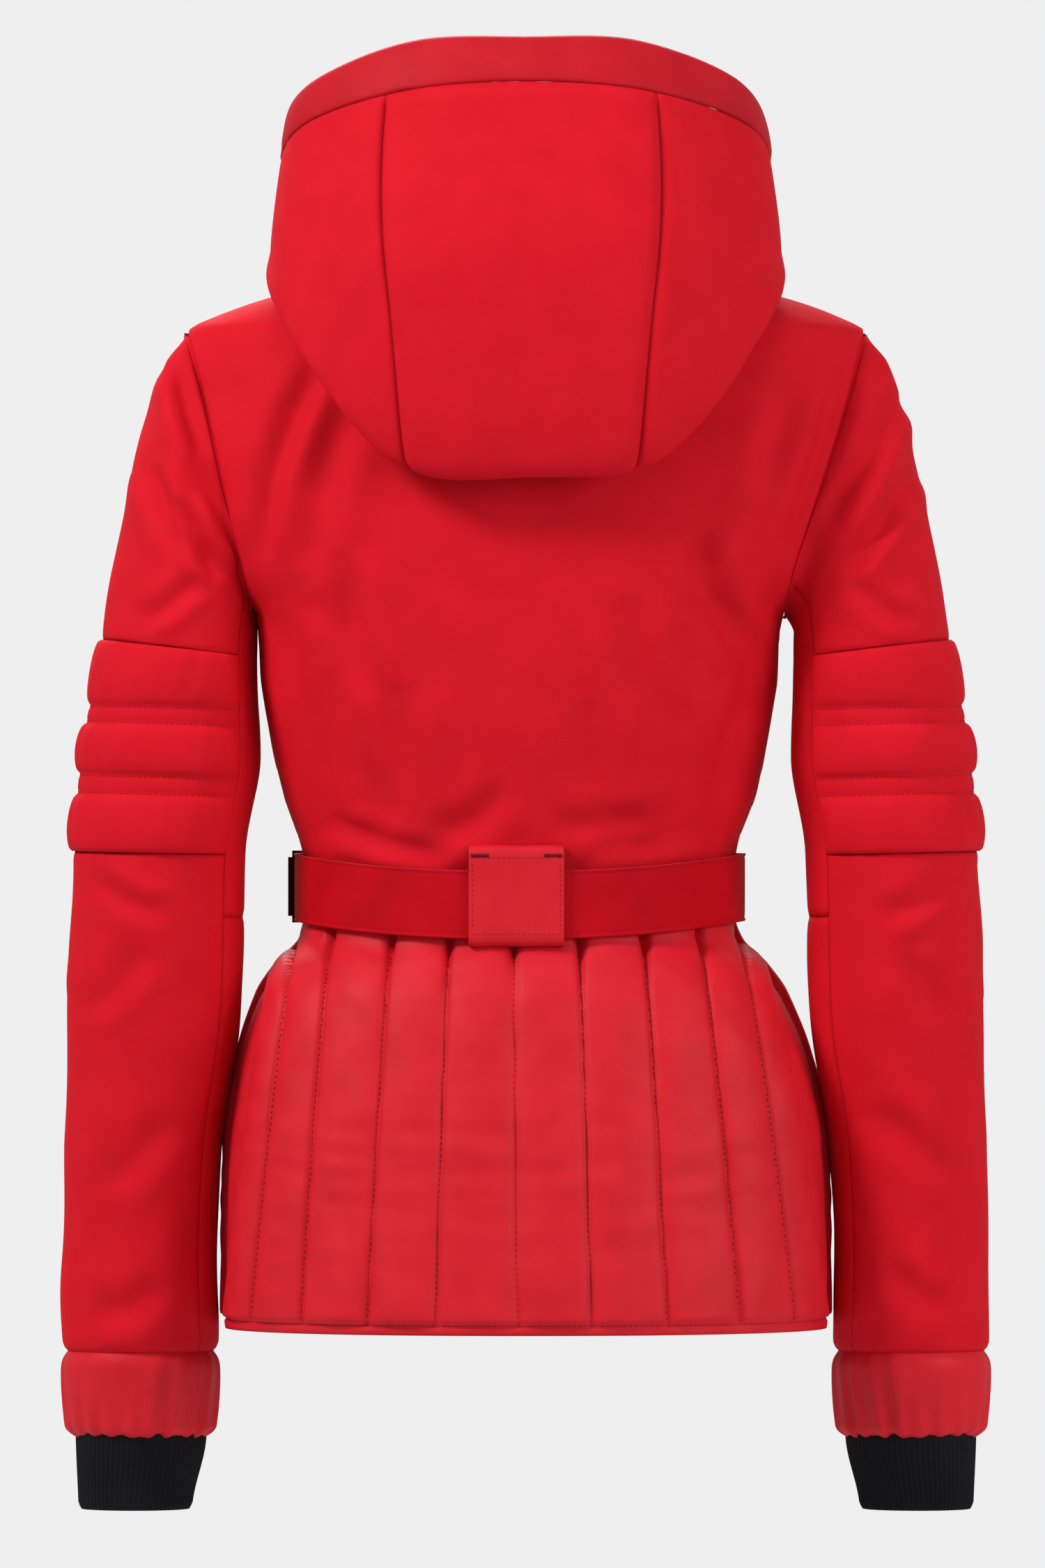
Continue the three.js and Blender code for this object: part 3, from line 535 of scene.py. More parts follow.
def fold(field, path, width, depth, backOf=0):
    # one soft fold along a path of (x, z) points: a valley with a raised lip on each side. It shows
    # only on cloth whose y is more than backOf
    x, z = field["points"][..., 0], field["points"][..., 2]
    best = np.full(x.shape, 1e9)
    signed = np.zeros(x.shape)
    part = np.zeros(x.shape)
    spans = [math.dist(a, b) for a, b in zip(path, path[1:])]
    before = 0
    before = 0
    for (a, b), span in zip(zip(path, path[1:]), spans):
        dx, dz = (b[0] - a[0]) / span, (b[1] - a[1]) / span
        t = np.clip((x - a[0]) * dx + (z - a[1]) * dz, 0, span)
        offX, offZ = x - a[0] - t * dx, z - a[1] - t * dz
        distance = np.hypot(offX, offZ)
        closer = distance < best
        best = np.where(closer, distance, best)
        signed = np.where(closer, np.copysign(distance, offX * dz - offZ * dx), signed)
        part = np.where(closer, (before + t) / sum(spans), part)
        before += span
    taper = np.clip(np.minimum(part, 1 - part) / 0.25, 0, 1) ** 0.7
    s = signed / width
    shape = -bell(s, 1) + 0.75 * bell(s - 1.7, 1) + 0.5 * bell(s + 1.9, 1.2)
    return depth * shape * taper * (field["points"][..., 1] > backOf)


def noiseField(field, scales, seed=0):
    # smooth seeded noise, its grain given in millimetres across and down the cloth
    across, down = field["across"] / scales[0], field["down"] / scales[1]
    values = [noise.noise(Vector((a, d, seed))) for a, d in zip(across.ravel(), down.ravel())]
    return np.array(values).reshape(across.shape)


def skinPath(field, along, fixed, start=0.0, stop=1.0, steps=200):
    # points of a finished sheet and its cutting surface's normals, along u or v
    columns, rows = field["points"].shape[0] - 1, field["points"].shape[1] - 1
    line = []
    for k in range(steps + 1):
        t = mix(start, stop, k / steps)
        u, v = (t, fixed) if along == "u" else (fixed, t)
        i, j = min(columns - 1, int(u * columns)), min(rows - 1, int(v * rows))
        a, b = u * columns - i, v * rows - j
        spot = []
        for grid in (field["points"], field["normals"]):
            near, far = mix(grid[i, j], grid[i + 1, j], a), mix(grid[i, j + 1], grid[i + 1, j + 1], a)
            spot.append(Vector(mix(near, far, b)))
        line.append(spot)
    return line


def makeStitches(name, lines, slotName, body, long=2.4, gap=1.3, thick=0.55, materialName="thread"):
    # short raised stitches laid end to end along each line of (point, normal)
    mesh = bmesh.new()
    for line in lines:
        travelled = 0
        nextAt = gap
        for (a, normalA), (b, normalB) in zip(line, line[1:]):
            span = (b - a).length
            while span > 0 and nextAt <= travelled + span:
                t = (nextAt - travelled) / span
                out = normalA.lerp(normalB, t).normalized()
                ahead = (b - a).normalized()
                turn = Vector(ahead).to_track_quat("X", "Z").to_matrix()
                turn.col[0], turn.col[1], turn.col[2] = ahead, out.cross(ahead), out
                made = bmesh.ops.create_icosphere(mesh, subdivisions=1, radius=0.5)["verts"]
                for vert in made:
                    local = Vector((vert.co.x * long, vert.co.y * thick, vert.co.z * thick))
                    vert.co = place(a.lerp(b, t) + out * 0.1 + turn @ local)
                nextAt += long + gap
            travelled += span
    piece = meshObject(name, mesh)
    shadeSmooth(piece)
    return finishWith(piece, slotName, body, materialName)


def across(field, v, start=0.0, stop=1.0):
    return skinPath(field, "u", v, start, stop)


def downward(field, u, start=0.0, stop=1.0):
    return skinPath(field, "v", u, start, stop)


def panel(name, surface, columns, rows, inside, slotName, nodes=(), relief=None, body="jacket",
          wall=cloth, closed=False, materialName=None):
    piece, field = makeSheet(name, surface, columns, rows, inside, relief, wall, closed)
    finishWith(piece, slotName, body, materialName)
    if nodes:
        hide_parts(*nodes)
    return piece, field


torsoMiddle = (0, 0, -200)

# the body: back and two front panels, with their linings
bodyLook = {
    "wave": 1.9, "waveSize": (48, 120), "ripple": 0.25, "rippleSize": (16, 30), "foldFade": 7,
    "foldDepth": 1.45, "backLiningDepth": 10.0, "frontLiningDepth": 6.8, "liningEdgeX": 18,
}


def bodyRelief(folds):
    def relief(field):
        look = bodyLook
        rise = edgeRoll(field)
        fade = np.clip(field["side"] / look["foldFade"], 0, 1)
        for path, width, depth in folds:
            rise = rise + fold(field, path, width, depth * look["foldDepth"]) * fade
        rise = rise + noiseField(field, look["waveSize"], 3) * look["wave"] * fade
        return rise + noiseField(field, look["rippleSize"], 8) * look["ripple"]
    return relief


# each fold: its path of (x, z) points, its width and its depth
backFolds = (
    (((122, -42), (139, -78), (153, -118), (158, -165)), 8, 4.2),
    (((100, -66), (116, -100), (128, -146), (130, -190)), 11, 2.6),
    (((-190, -52), (-184, -80), (-168, -128), (-158, -168)), 8, 4.6),
    (((-168, -60), (-152, -100), (-146, -150), (-140, -196)), 11, 2.4),
    (((112, -160), (106, -205), (96, -250)), 10, 3.2),
    (((-100, -148), (-112, -188), (-134, -226)), 9, 3.4),
    (((-60, -190), (-72, -236), (-90, -276)), 11, 2.4),
    (((146, -196), (138, -240), (122, -300), (112, -340)), 10, 4.0),
    (((124, -214), (112, -262), (96, -318)), 10, 3.0),
    (((-140, -206), (-132, -250), (-118, -300), (-108, -330)), 10, 3.8),
    (((74, -240), (80, -290), (92, -336)), 12, 2.4),
    (((-36, -250), (-46, -300), (-60, -338)), 12, 2.4),
    (((10, -300), (30, -322), (60, -334)), 9, 2.4),
    (((-104, -318), (-60, -326), (-14, -324)), 8, 2.4),
    (((44, -344), (84, -336), (122, -322)), 6, 2.2),
    (((-34, -340), (-70, -338), (-112, -326)), 6, 2.2),
)
panel("backPanel", backAcross(bodyZ), 134, 126, torsoMiddle, "softshell", ["back_body_panel"],
      bodyRelief(backFolds))
panel("backLining", lambda u, v: backAcross(bodyZ)(mix(0.05, 0.95, u), v), 50, 50, torsoMiddle,
      "lining", ["back_lining"], sunk(bodyLook["backLiningDepth"]), wall=1)
for hand, side in (("left", 1), ("right", -1)):
    panel(hand + "FrontPanel", frontAcross(side, bodyZ), 76, 126, torsoMiddle, "softshell",
          [hand + "_front_panel"], bodyRelief(()))
    inner = frontAcross(side, bodyZ, bodyLook["liningEdgeX"])
    panel(hand + "FrontLining", lambda u, v: inner(mix(0.09, 1, u), v), 30, 50, torsoMiddle,
          "lining", [hand + "_front_lining"], sunk(bodyLook["frontLiningDepth"]), wall=1)
print("body made")

# the stand collar, rolled over at its top edge
collarLook = {"roll": 3.6, "rollFrom": 0.8, "liningDrop": 3, "liningDepth": 6.7}
collarMiddle = (0, -20, 30)


def collarAt(u, v):
    roll, rollFrom = collarLook["roll"], collarLook["rollFrom"]
    if v < rollFrom:
        inset, z = 0, mix(jacket["neckZ"], jacket["collarTopZ"] - roll, v / rollFrom)
    else:
        turned = math.pi * (v - rollFrom) / 0.2
        inset = roll * (1 - math.cos(turned))
        z = jacket["collarTopZ"] - roll + roll * math.sin(turned)
    edge = angleAtX(jacket["zipEdgeX"] + inset, z)
    return torsoAt(mix(-edge, math.pi + edge, u), z, -inset)


def collarLiningAt(u, v):
    z = mix(jacket["neckZ"], jacket["collarTopZ"] - collarLook["liningDrop"], v)
    edge = angleAtX(bodyLook["liningEdgeX"], z)
    return torsoAt(mix(-edge, math.pi + edge, u), z)


panel("collarShell", collarAt, 150, 30, collarMiddle, "softshell", ["collar"],
      lambda field: noiseField(field, (60, 30), 5) * 0.6)
panel("collarLining", collarLiningAt, 110, 16, collarMiddle, "fleece", ["collar_lining"],
      lambda field: -collarLook["liningDepth"] + noiseField(field, (30, 20), 6) * 0.2, wall=1)


# the hanging loop, a tape bent into a low arch
def loopAt(u, v):
    half = [(-28, -24), (-28, -6), (-14, 1.2), (0, 1.2)]
    t = 2 * min(v, 1 - v)
    a, b, c, d = (1 - t) ** 3, 3 * t * (1 - t) ** 2, 3 * t * t * (1 - t), t ** 3
    x = sum(k * p[0] for k, p in zip((a, b, c, d), half))
    z = sum(k * p[1] for k, p in zip((a, b, c, d), half))
    return Vector((x if v < 0.5 else -x, jacket["loopY"] + mix(-3, 3, u), jacket["loopZ"] + z))


panel("hangingLoop", loopAt, 8, 60, (0, 35, 0), "tape", ["hanger_loop"],
      lambda field: -0.15 * np.cos(field["u"] * 4 * math.pi), wall=1.2)
print("collar and loop made")

# the hood: a centre panel and two sides, folded under at the back down to the neck
hoodLook = {
    "proud": 2.2, "edgeWidth": 6, "groove": 1.7, "grooveWidth": 3.2, "foldAt": 2 / 3,
    "seamGap": 0.0002, "brimFrom": 0.001, "liningDepth": 7.4, "tapeReach": 0.011, "tapeDepth": 2.5,
    "puff": 2.2,
}
hoodMiddle = (0, 100, 20)


def hoodSeam(side, v):
    if side > 0:
        return 0.604 + 0.014 * math.cos(5 * v)
    return 0.404 - 0.014 * math.cos(5 * v)


def hoodRelief(field, proud):
    look = hoodLook
    shape = look["proud"] * (1 - np.exp(-field["side"] / look["edgeWidth"])) if proud else 0
    groove = -look["groove"] * bell(field["side"], look["grooveWidth"])
    top = -0.5 * bell(field["end"], 3)
    soft = noiseField(field, (70, 90), 11) * 1.6 + noiseField(field, (24, 60), 12) * 0.4
    fade = np.clip(np.minimum(field["side"], field["end"]) / 10, 0, 1)
    return (shape + groove) * np.clip(field["end"] / 8, 0.1, 1) + top + soft * fade


def hoodWeight(along):
    return 1 - smooth((along - hoodLook["foldAt"]) / (1 - hoodLook["foldAt"]))


# name, node, where each panel starts and ends round the hood, columns, whether it stands proud
hoodSpans = (
    ("hoodCentre", "hood_centre_panel", lambda v: hoodSeam(-1, v) + hoodLook["seamGap"],
     lambda v: hoodSeam(1, v) - hoodLook["seamGap"], 62, True),
    ("hoodLeft", "hood_left_panel", lambda v: hoodSeam(1, v) + hoodLook["seamGap"],
     lambda v: 1, 96, False),
    ("hoodRight", "hood_right_panel", lambda v: 0,
     lambda v: hoodSeam(-1, v) - hoodLook["seamGap"], 96, False),
)
for name, node, fromU, toU, columns, proud in hoodSpans:
    def hoodPart(u, v, fromU=fromU, toU=toU):
        return hoodAt(mix(fromU(v), toU(v), u), mix(hoodLook["brimFrom"], 1, v))

    piece, _ = panel(name, hoodPart, columns, 130, hoodMiddle, "softshell", [node],
                     lambda field, proud=proud: hoodRelief(field, proud), body=None)
    bendWith(piece, hoodWeight)
panel("hoodLining", lambda u, v: hoodAt(mix(0.12, 0.88, u), mix(0.01, 0.57, v)), 110, 60,
      hoodMiddle, "lining", ["hood_lining"],
      lambda field: noiseField(field, (50, 60), 13) * 0.5 - hoodLook["liningDepth"],
      body="hood", wall=1)


def hoodTape(side):
    def surface(u, v):
        v = mix(0.004, 0.996, v)
        return hoodAt(hoodSeam(side, v) + mix(-hoodLook["tapeReach"], hoodLook["tapeReach"], u), v)
    return surface


for hand, side in (("left", 1), ("right", -1)):
    piece, _ = panel(hand + "HoodSeamTape", hoodTape(side), 6, 130, hoodMiddle, "softshell",
                     relief=sunk(hoodLook["tapeDepth"]), body=None, wall=0.9)
    bendWith(piece, hoodWeight)


def brimAt(u, v):
    return spline(hoodRails["brimSeam"], u).lerp(spline(hoodRails["edge"], u), mix(0.004, 1, v))


def brimRelief(field):
    puff = hoodLook["puff"] * np.sin(np.pi * field["v"]) ** 0.6
    pucker = noiseField(field, (11, 60), 14) * 0.7 * bell(field["v"] - 0.05, 0.25)
    return puff + pucker + noiseField(field, (60, 30), 15) * 0.8 - 0.5 * bell(field["end"], 2)


# the brim uses the darker satin copy, whose colour is painted shade
panel("hoodBrim", brimAt, 230, 18, hoodMiddle, "satin", ["hood_brim"], brimRelief, body="hood",
      wall=4.5, materialName="shadedBrimSatin")
print("hood made")

# the sleeves: upper sleeve, ribbed elbow pad, lower sleeve, two undersleeves, cuffs and lining
sleeveLook = {
    "bendFrom": (206, 0, -26), "bendAlong": (0.966, 0, -0.257), "bendOver": 92,
    "ribs": ((0, 0.30), (0.40, 0.625), (0.735, 1)), "ribRise": 4.2, "bandRise": 0.9,
    "bandStitches": (0.315, 0.385, 0.64, 0.72), "cuffPuckers": 13, "knitRibs": 72,
    "foldDepth": 1.5, "foldBackOf": -20, "wave": 2.2, "blouse": 3.2, "liningDepth": 7.2,
}
sleeveFolds = {
    1: ((((212, -46), (204, -75), (192, -104)), 6, 3.4),
        (((226, -108), (218, -135), (206, -166)), 6, 3.0),
        (((208, -128), (199, -152), (184, -178)), 5.5, 4.4),
        (((196, -176), (214, -192), (232, -204)), 6, 2.0),
        (((262, -356), (240, -372), (214, -380)), 7, 1.8),
        (((230, -400), (248, -424), (268, -440)), 9, 1.8),
        (((214, -500), (238, -530), (262, -548)), 10, 1.8),
        (((216, -600), (240, -618), (266, -622)), 9, 1.8)),
    -1: ((((-226, -64), (-206, -104), (-184, -146)), 7, 3.8),
         (((-232, -112), (-214, -146), (-190, -176)), 6.5, 3.4),
         (((-196, -178), (-214, -194), (-236, -206)), 6, 2.0),
         (((-258, -358), (-236, -372), (-212, -382)), 7, 1.8),
         (((-226, -404), (-246, -430), (-266, -446)), 9, 2.0),
         (((-210, -494), (-236, -520), (-262, -540)), 10, 2.0),
         (((-214, -590), (-240, -612), (-264, -618)), 9, 1.8)),
}


def bendSleeve(piece, side):
    # works out where the bend at the shoulder starts and ends, without using it, and bakes the piece's
    # transform
    start = Vector(sleeveLook["bendFrom"])
    end = start + Vector(sleeveLook["bendAlong"]) * sleeveLook["bendOver"]
    start.x, end.x = side * start.x, side * end.x
    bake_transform(piece)


def sleeveRelief(side, folds=True):
    def relief(field):
        look = sleeveLook
        rise = edgeRoll(field, 0.8, 2.2)
        fade = np.clip(np.minimum(field["side"], field["end"]) / 9, 0, 1)
        for path, width, depth in (sleeveFolds[side] if folds else ()):
            rise = rise + fold(field, path, width, depth * look["foldDepth"], look["foldBackOf"]) * fade
        toHem = field["points"][..., 2] - sleeveShape["hemZ"]
        blouse = -look["blouse"] * np.clip(1 - toHem / 8, 0, 1) ** 2.2
        return rise + noiseField(field, (46, 60), 20 + side) * look["wave"] * fade + blouse
    return relief


def padRelief(field):
    v = field["v"]
    rise = np.full(v.shape, sleeveLook["bandRise"])
    for low, high in sleeveLook["ribs"]:
        part = np.clip((v - low) / (high - low), 0, 1)
        rise = rise + sleeveLook["ribRise"] * np.sin(np.pi * part) ** 0.42
    gathers = noiseField(field, (9, 70), 31) * 0.7 + noiseField(field, (30, 40), 32) * 0.9
    stitched = sum(bell(v - at, 0.012) for at in sleeveLook["bandStitches"])
    return (rise + gathers - 0.7 * stitched) * np.clip(field["side"] / 14, 0, 1) ** 0.6


def cuffRelief(field):
    # soft slanting pleats that deepen towards the elastic at the lower edge, which turns in
    v, turn = field["v"], field["u"] * 2 * math.pi
    lean = 0.35 * v + 0.5 * np.sin(turn * 2 + 1)
    pleat = np.cos(turn * sleeveLook["cuffPuckers"] + 9 * lean + 1.3 * np.sin(3 * turn))
    scallop = np.cos(turn * sleeveLook["cuffPuckers"] * 2 + 7 * lean)
    toEnd = field["down"][:, -1:] - field["down"]
    turnIn = -7.5 * np.clip(1 - toEnd / 9, 0, 1) ** 2.2
    full = 2.2 * np.sin(np.pi * np.clip(0.15 + 0.8 * v, 0, 1)) ** 0.7
    depth = (0.15 + 0.85 * v) * np.clip(field["down"] / 8, 0, 1)
    tuckedIn = -5.2 * bell(field["down"], 7)
    return full + turnIn + tuckedIn + depth * (1.5 * pleat + 1.0 * v * scallop) - 0.6


def knitRelief(field):
    ribs = 0.3 * np.cos(field["u"] * 2 * math.pi * sleeveLook["knitRibs"])
    toEnd = field["down"][:, -1:] - field["down"]
    return ribs - 1.8 * bell(toEnd, 2.2) + 0.7 * np.sin(np.pi * field["v"])


def sleevePanel(side, fromAngle, toAngle, zAt):
    return lambda u, v: sleeveAt(side, mix(fromAngle, toAngle, u), zAt(v))


def underRowZ(v):
    shape = sleeveShape
    row = v * 11
    if row <= 6:
        return mix(jacket["armTopZ"] - 0.6, shape["padTopZ"], row / 6)
    if row <= 10:
        return mix(shape["padTopZ"], shape["padLowZ"], (row - 6) / 4)
    return mix(shape["padLowZ"], shape["underSeamZ"] + 0.05, row - 10)


def between(topZ, lowZ):
    return lambda v: mix(topZ, lowZ, v)


def makeSleeve(hand, side):
    shape, seam = sleeveShape, sleeveShape["seam"]
    outer = (shape["frontSeam"] + seam, shape["backSeam"] - seam)
    under = (shape["backSeam"] + seam, shape["frontSeam"] + 2 * math.pi - seam)
    upper, elbow, lower = ((side * 215, 0, z) for z in (-150, -280, -500))
    top, padTop, padLow = jacket["armTopZ"] - 0.6, shape["padTopZ"], shape["padLowZ"]
    folded, plain = sleeveRelief(side), sleeveRelief(side, False)

    # name, node, angles, heights, columns, rows, a point inside, relief, fill of a padded piece
    cuts = (
        ("UpperSleeve", "_upper_sleeve", outer, between(top, padTop + 0.05), 96, 68, upper,
         folded, None),
        ("ElbowPad", "_elbow_pad", outer, between(padTop - 0.05, padLow + 0.05), 150, 84, elbow,
         padRelief, 0.6),
        ("LowerSleeve", "_lower_sleeve", outer, between(padLow - 0.05, shape["hemZ"]), 90, 104,
         lower, folded, None),
        ("UpperUndersleeve", "_upper_undersleeve", under, underRowZ, 40, 84, elbow, plain, None),
        ("LowerUndersleeve", "_lower_undersleeve", under,
         between(shape["underSeamZ"] - 0.05, shape["hemZ"]), 40, 90, lower, plain, None),
    )
    made = [panel(hand + name, sleevePanel(side, *angles, zAt), columns, rows, middle, "softshell",
                  [hand + node], relief, body=None)
            for name, node, angles, zAt, columns, rows, middle, relief, fill in cuts]

    def around(zAt, grow=0):
        return lambda u, v: sleeveAt(side, 2 * math.pi * u, zAt(v), grow)

    def armholeTape(u, v):
        point = sleeveAt(side, 2 * math.pi * u, top, -2.6)
        return point + Vector((side * mix(-6, 1.5, v), 0, 0))

    made.append(panel(hand + "SleeveLining", around(between(jacket["armTopZ"] - 66,
                      shape["hemZ"] + 4)), 60, 80, elbow, "lining", [hand + "_sleeve_lining"],
                      sunk(sleeveLook["liningDepth"]), body=None, wall=1, closed=True))
    made.append(panel(hand + "ArmholeTape", armholeTape, 120, 6, (side * 100, 0, -110),
                      "softshell", wall=0.8, closed=True, body=None))
    for piece, _ in made:
        bendSleeve(piece, side)
    panel(hand + "GatheredCuff", around(between(shape["hemZ"] + 5, shape["cuffLowZ"]), -0.6), 330,
          38, (side * 235, -30, -670), "satin", [hand + "_gathered_cuff"], cuffRelief,
          body=hand + "_sleeve", wall=2.6, closed=True)
    panel(hand + "KnitCuff", around(between(shape["hemZ"] - 24, shape["knitLowZ"]), -5.6), 432,
          34, (side * 240, -36, -700), "knit", [hand + "_knit_cuff"], knitRelief,
          body=hand + "_sleeve", wall=2.6, closed=True)
    return made[1][1]


padFields = {side: makeSleeve(hand, side) for hand, side in (("left", 1), ("right", -1))}
print("sleeves made")

# the padded peplum: quilted channels gathered under the belt
peplumLook = {
    "hemLines": (-186, -163, -129, -85, -39, 5, 55, 96, 136, 167, 186),
    "topLines": (-142, -129, -105, -71, -32, 8, 46, 81, 118, 139, 152),
    "puff": 3.2, "hemBand": 9, "wall": 5, "frontChannels": 6, "liningDepth": 13.4, "liningInset": 18,
}


def peplumZ(v):
    return mix(jacket["waistZ"] - 0.4, jacket["hemZ"], v)


def channelPhase(field, gathered):
    # a whole number on each crease; the front panels have straight channels
    if not gathered:
        return (1 - field["u"]) * peplumLook["frontChannels"]
    x, v = field["points"][..., 0], field["v"]
    top, hem = np.array(peplumLook["topLines"]), np.array(peplumLook["hemLines"])
    phase = np.zeros(x.shape)
    for j in range(x.shape[1]):
        share = np.clip((v[0, j] - 0.1) / 0.9, 0, 1) ** 0.8
        phase[:, j] = np.interp(x[:, j], mix(top, hem, share), np.arange(len(hem)))
    return phase


def peplumRelief(gathered):
    def relief(field):
        v = field["v"]
        phase = channelPhase(field, gathered) + noiseField(field, (400, 70), 50) * 0.03
        toLine = np.abs(phase - np.round(phase)) * 42
        puff = np.abs(np.sin(np.pi * phase)) ** 0.5
        high = np.exp(-(np.clip(v - 0.1, 0, 1) / 0.075) ** 1.2)
        crease = -2.3 * bell(toLine, 1.5)
        pleat = -5.5 * high * bell(toLine, 1.2 + 1.9 * high)
        middle = noiseField(field, (33, 58), 51) * 1.5 + noiseField(field, (16, 22), 52) * 0.5
        acrossPull = noiseField(field, (60, 12), 53) * 1.1 * bell(v - 0.64, 0.2)
        hemPart = np.clip((field["down"][:, -1:] - field["down"]) / peplumLook["hemBand"], 0, 1)
        flat = smoothArray((hemPart - 0.55) / 0.45)
        drop = -2.4 * bell(hemPart - 0.62, 0.1) - 1.6 * (1 - flat)
        underBelt = smoothArray((v - 0.03) / 0.05)
        full = peplumLook["puff"] * (puff - 0.35) + (middle + acrossPull) * puff + crease + pleat
        return full * flat * underBelt + drop + edgeRoll(field, 1.4, 3) * 0.6
    return relief


def smoothArray(t):
    t = np.clip(t, 0, 1)
    return t * t * (3 - 2 * t)


hemMiddle = (0, 0, -500)
_, peplumField = panel("peplumBack", backAcross(peplumZ), 300, 130, hemMiddle, "satin",
                       ["peplum_back"], peplumRelief(True), wall=peplumLook["wall"])
for hand, side in (("left", 1), ("right", -1)):
    panel(hand + "PeplumFront", frontAcross(side, peplumZ), 150, 130, hemMiddle, "satin",
          [hand + "_peplum_front"], peplumRelief(False), wall=peplumLook["wall"])


def peplumLiningAt(u, v):
    inset = peplumLook["liningInset"]
    z = mix(jacket["waistZ"] - inset, jacket["hemZ"] + inset, v)
    return torsoAt(mix(-angleAtX(20, z), math.pi + angleAtX(20, z), u), z)


panel("peplumLining", peplumLiningAt, 110, 40, hemMiddle, "lining", ["peplum_lining"],
      sunk(peplumLook["liningDepth"]), wall=1)
print("peplum made")

# the elastic belt and its loop at the back
beltLook = {"height": 41, "z": -363, "dip": 10, "grow": 7.8, "frontGrow": 16, "wall": 2,
            "buckleAngle": -0.42, "gap": 0.07}


def beltAt(angle, rise, grow=0):
    look = beltLook
    waist = torsoAt(angle, -362, look["grow"] + grow, look["frontGrow"] + grow)
    waist.z = look["z"] - look["dip"] * max(0, math.sin(angle)) ** 2 + rise
    return waist


def beltAround(u, v):
    start = beltLook["buckleAngle"] + beltLook["gap"]
    angle = mix(start, start + 2 * math.pi - 2 * beltLook["gap"], u)
    return beltAt(angle, mix(-0.5, 0.5, v) * beltLook["height"])


def beltRelief(field):
    toEdge = field["end"]
    edges = 0.5 * bell(toEdge - 0.8, 0.7) - 0.35 * bell(toEdge - 2.4, 0.6)
    return edges + noiseField(field, (30, 60), 61) * 0.5


_, beltField = panel("beltWebbing", beltAround, 430, 40, (0, 0, -363), "webbing",
                     ["belt_webbing"], beltRelief, wall=beltLook["wall"])
# stitches along the top edge of the belt; their pale colour is a painted highlight
makeStitches("beltEdge", [across(beltField, 0.992, 0.002, 0.998)], "webbing", "jacket", long=1.5,
             gap=0.5, thick=0.7, materialName="edgeHighlightThread")
loopLook = {"from": -22.5, "to": 34, "top": -337, "low": -398, "wall": 1.8, "inset": 1.6}
loopOuterY = backAt(-362) + beltLook["grow"] + 3.2
loopFootY = backAt(-337) + 0.8


def beltLoopAt(u, v):
    low, top = loopLook["low"], loopLook["top"]
    corner = ((loopFootY, low), (loopOuterY, low), (loopOuterY, low + 7))
    if v > 0.5:
        corner = ((loopFootY, top), (loopOuterY, top), (loopOuterY, top - 7))
    t = min(1, min(v, 1 - v) / 0.12)
    weights = ((1 - t) ** 2, 2 * t * (1 - t), t * t)
    y = sum(w * c[0] for w, c in zip(weights, corner))
    z = sum(w * c[1] for w, c in zip(weights, corner))
    if 0.12 < v < 0.88:
        z = mix(low + 7, top - 7, (v - 0.12) / 0.76)
    return Vector((mix(loopLook["from"], loopLook["to"], u), y, z))


_, loopField = panel("beltLoop", beltLoopAt, 46, 70, (5, 60, -367), "satin", ["belt_loop"],
                     lambda field: noiseField(field, (16, 22), 62) * 0.4
                     - 0.5 * bell(field["side"] - loopLook["inset"], 0.8), wall=loopLook["wall"])
print("belt made")

# the front zip: tapes, teeth and the wind placket behind them
zipLook = {"tapeY": 4.4, "pitch": 2.6, "tooth": (3, 2.1, 1.05), "apart": 1.05, "proud": 1.25,
           "bevel": 0.00022}
zipTilt = math.atan(jacket["frontSlope"])


def zipPoint(x, y, along):
    return Vector((x, jacket["frontY"] + y * math.cos(zipTilt) + along * math.sin(zipTilt),
                   -y * math.sin(zipTilt) + along * math.cos(zipTilt)))


def makeTeeth(name, pointAt, length, nodes):
    # interlocking teeth, alternately from the two tapes
    look = zipLook
    mesh = bmesh.new()
    count = int(length / look["pitch"] * 2)
    for k in range(count):
        side = 1 if k % 2 else -1
        made = bmesh.ops.create_cube(mesh, size=1)["verts"]
        along = length * ((k + 0.5) / count - 0.5)
        wide, deep, tall = look["tooth"]
        for vert in made:
            x, y, z = vert.co.x * wide + side * look["apart"], vert.co.y * deep, vert.co.z * tall
            vert.co = place(pointAt(x, look["tapeY"] - look["proud"] + y, along + z))
    bmesh.ops.bevel(mesh, geom=mesh.edges[:], offset=look["bevel"], segments=1, profile=0.5,
                    affect="EDGES", material=-1)
    piece = finishWith(meshObject(name, mesh), "zip_metal", "jacket")
    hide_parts(*nodes)


zipTop = (jacket["collarTopZ"] - 4) * math.hypot(1, jacket["frontSlope"])
zipLow = (jacket["hemZ"] + 8) * math.hypot(1, jacket["frontSlope"])
zipMiddle = (zipTop + zipLow) / 2
for hand, side in (("left", 1), ("right", -1)):
    panel(hand + "ZipTape", lambda u, v: zipPoint(side * mix(0.4, 12.2, u), zipLook["tapeY"],
          mix(zipLow, zipTop, v)), 10, 220, (0, 0, -300), "tape", [hand + "_zip_tape"],
          wall=0.8)
makeTeeth("zipTeeth", lambda x, y, along: zipPoint(x, y, zipMiddle + 3 + along),
          zipTop - zipLow - 34, ["left_zip_teeth", "right_zip_teeth"])
panel("windPlacket", lambda u, v: zipPoint(mix(-17, 17, u), 11.2, mix(zipLow + 10, zipTop - 10, v)),
      14, 160, (0, 0, -300), "satin", ["wind_placket"],
      lambda field: noiseField(field, (30, 60), 63) * 0.8, wall=1)


# the two hand pockets: a zip between raised welts
pocketLook = {"length": 120, "stand": 8.5, "outer": (15, 74), "inner": (4.7, 60.5)}


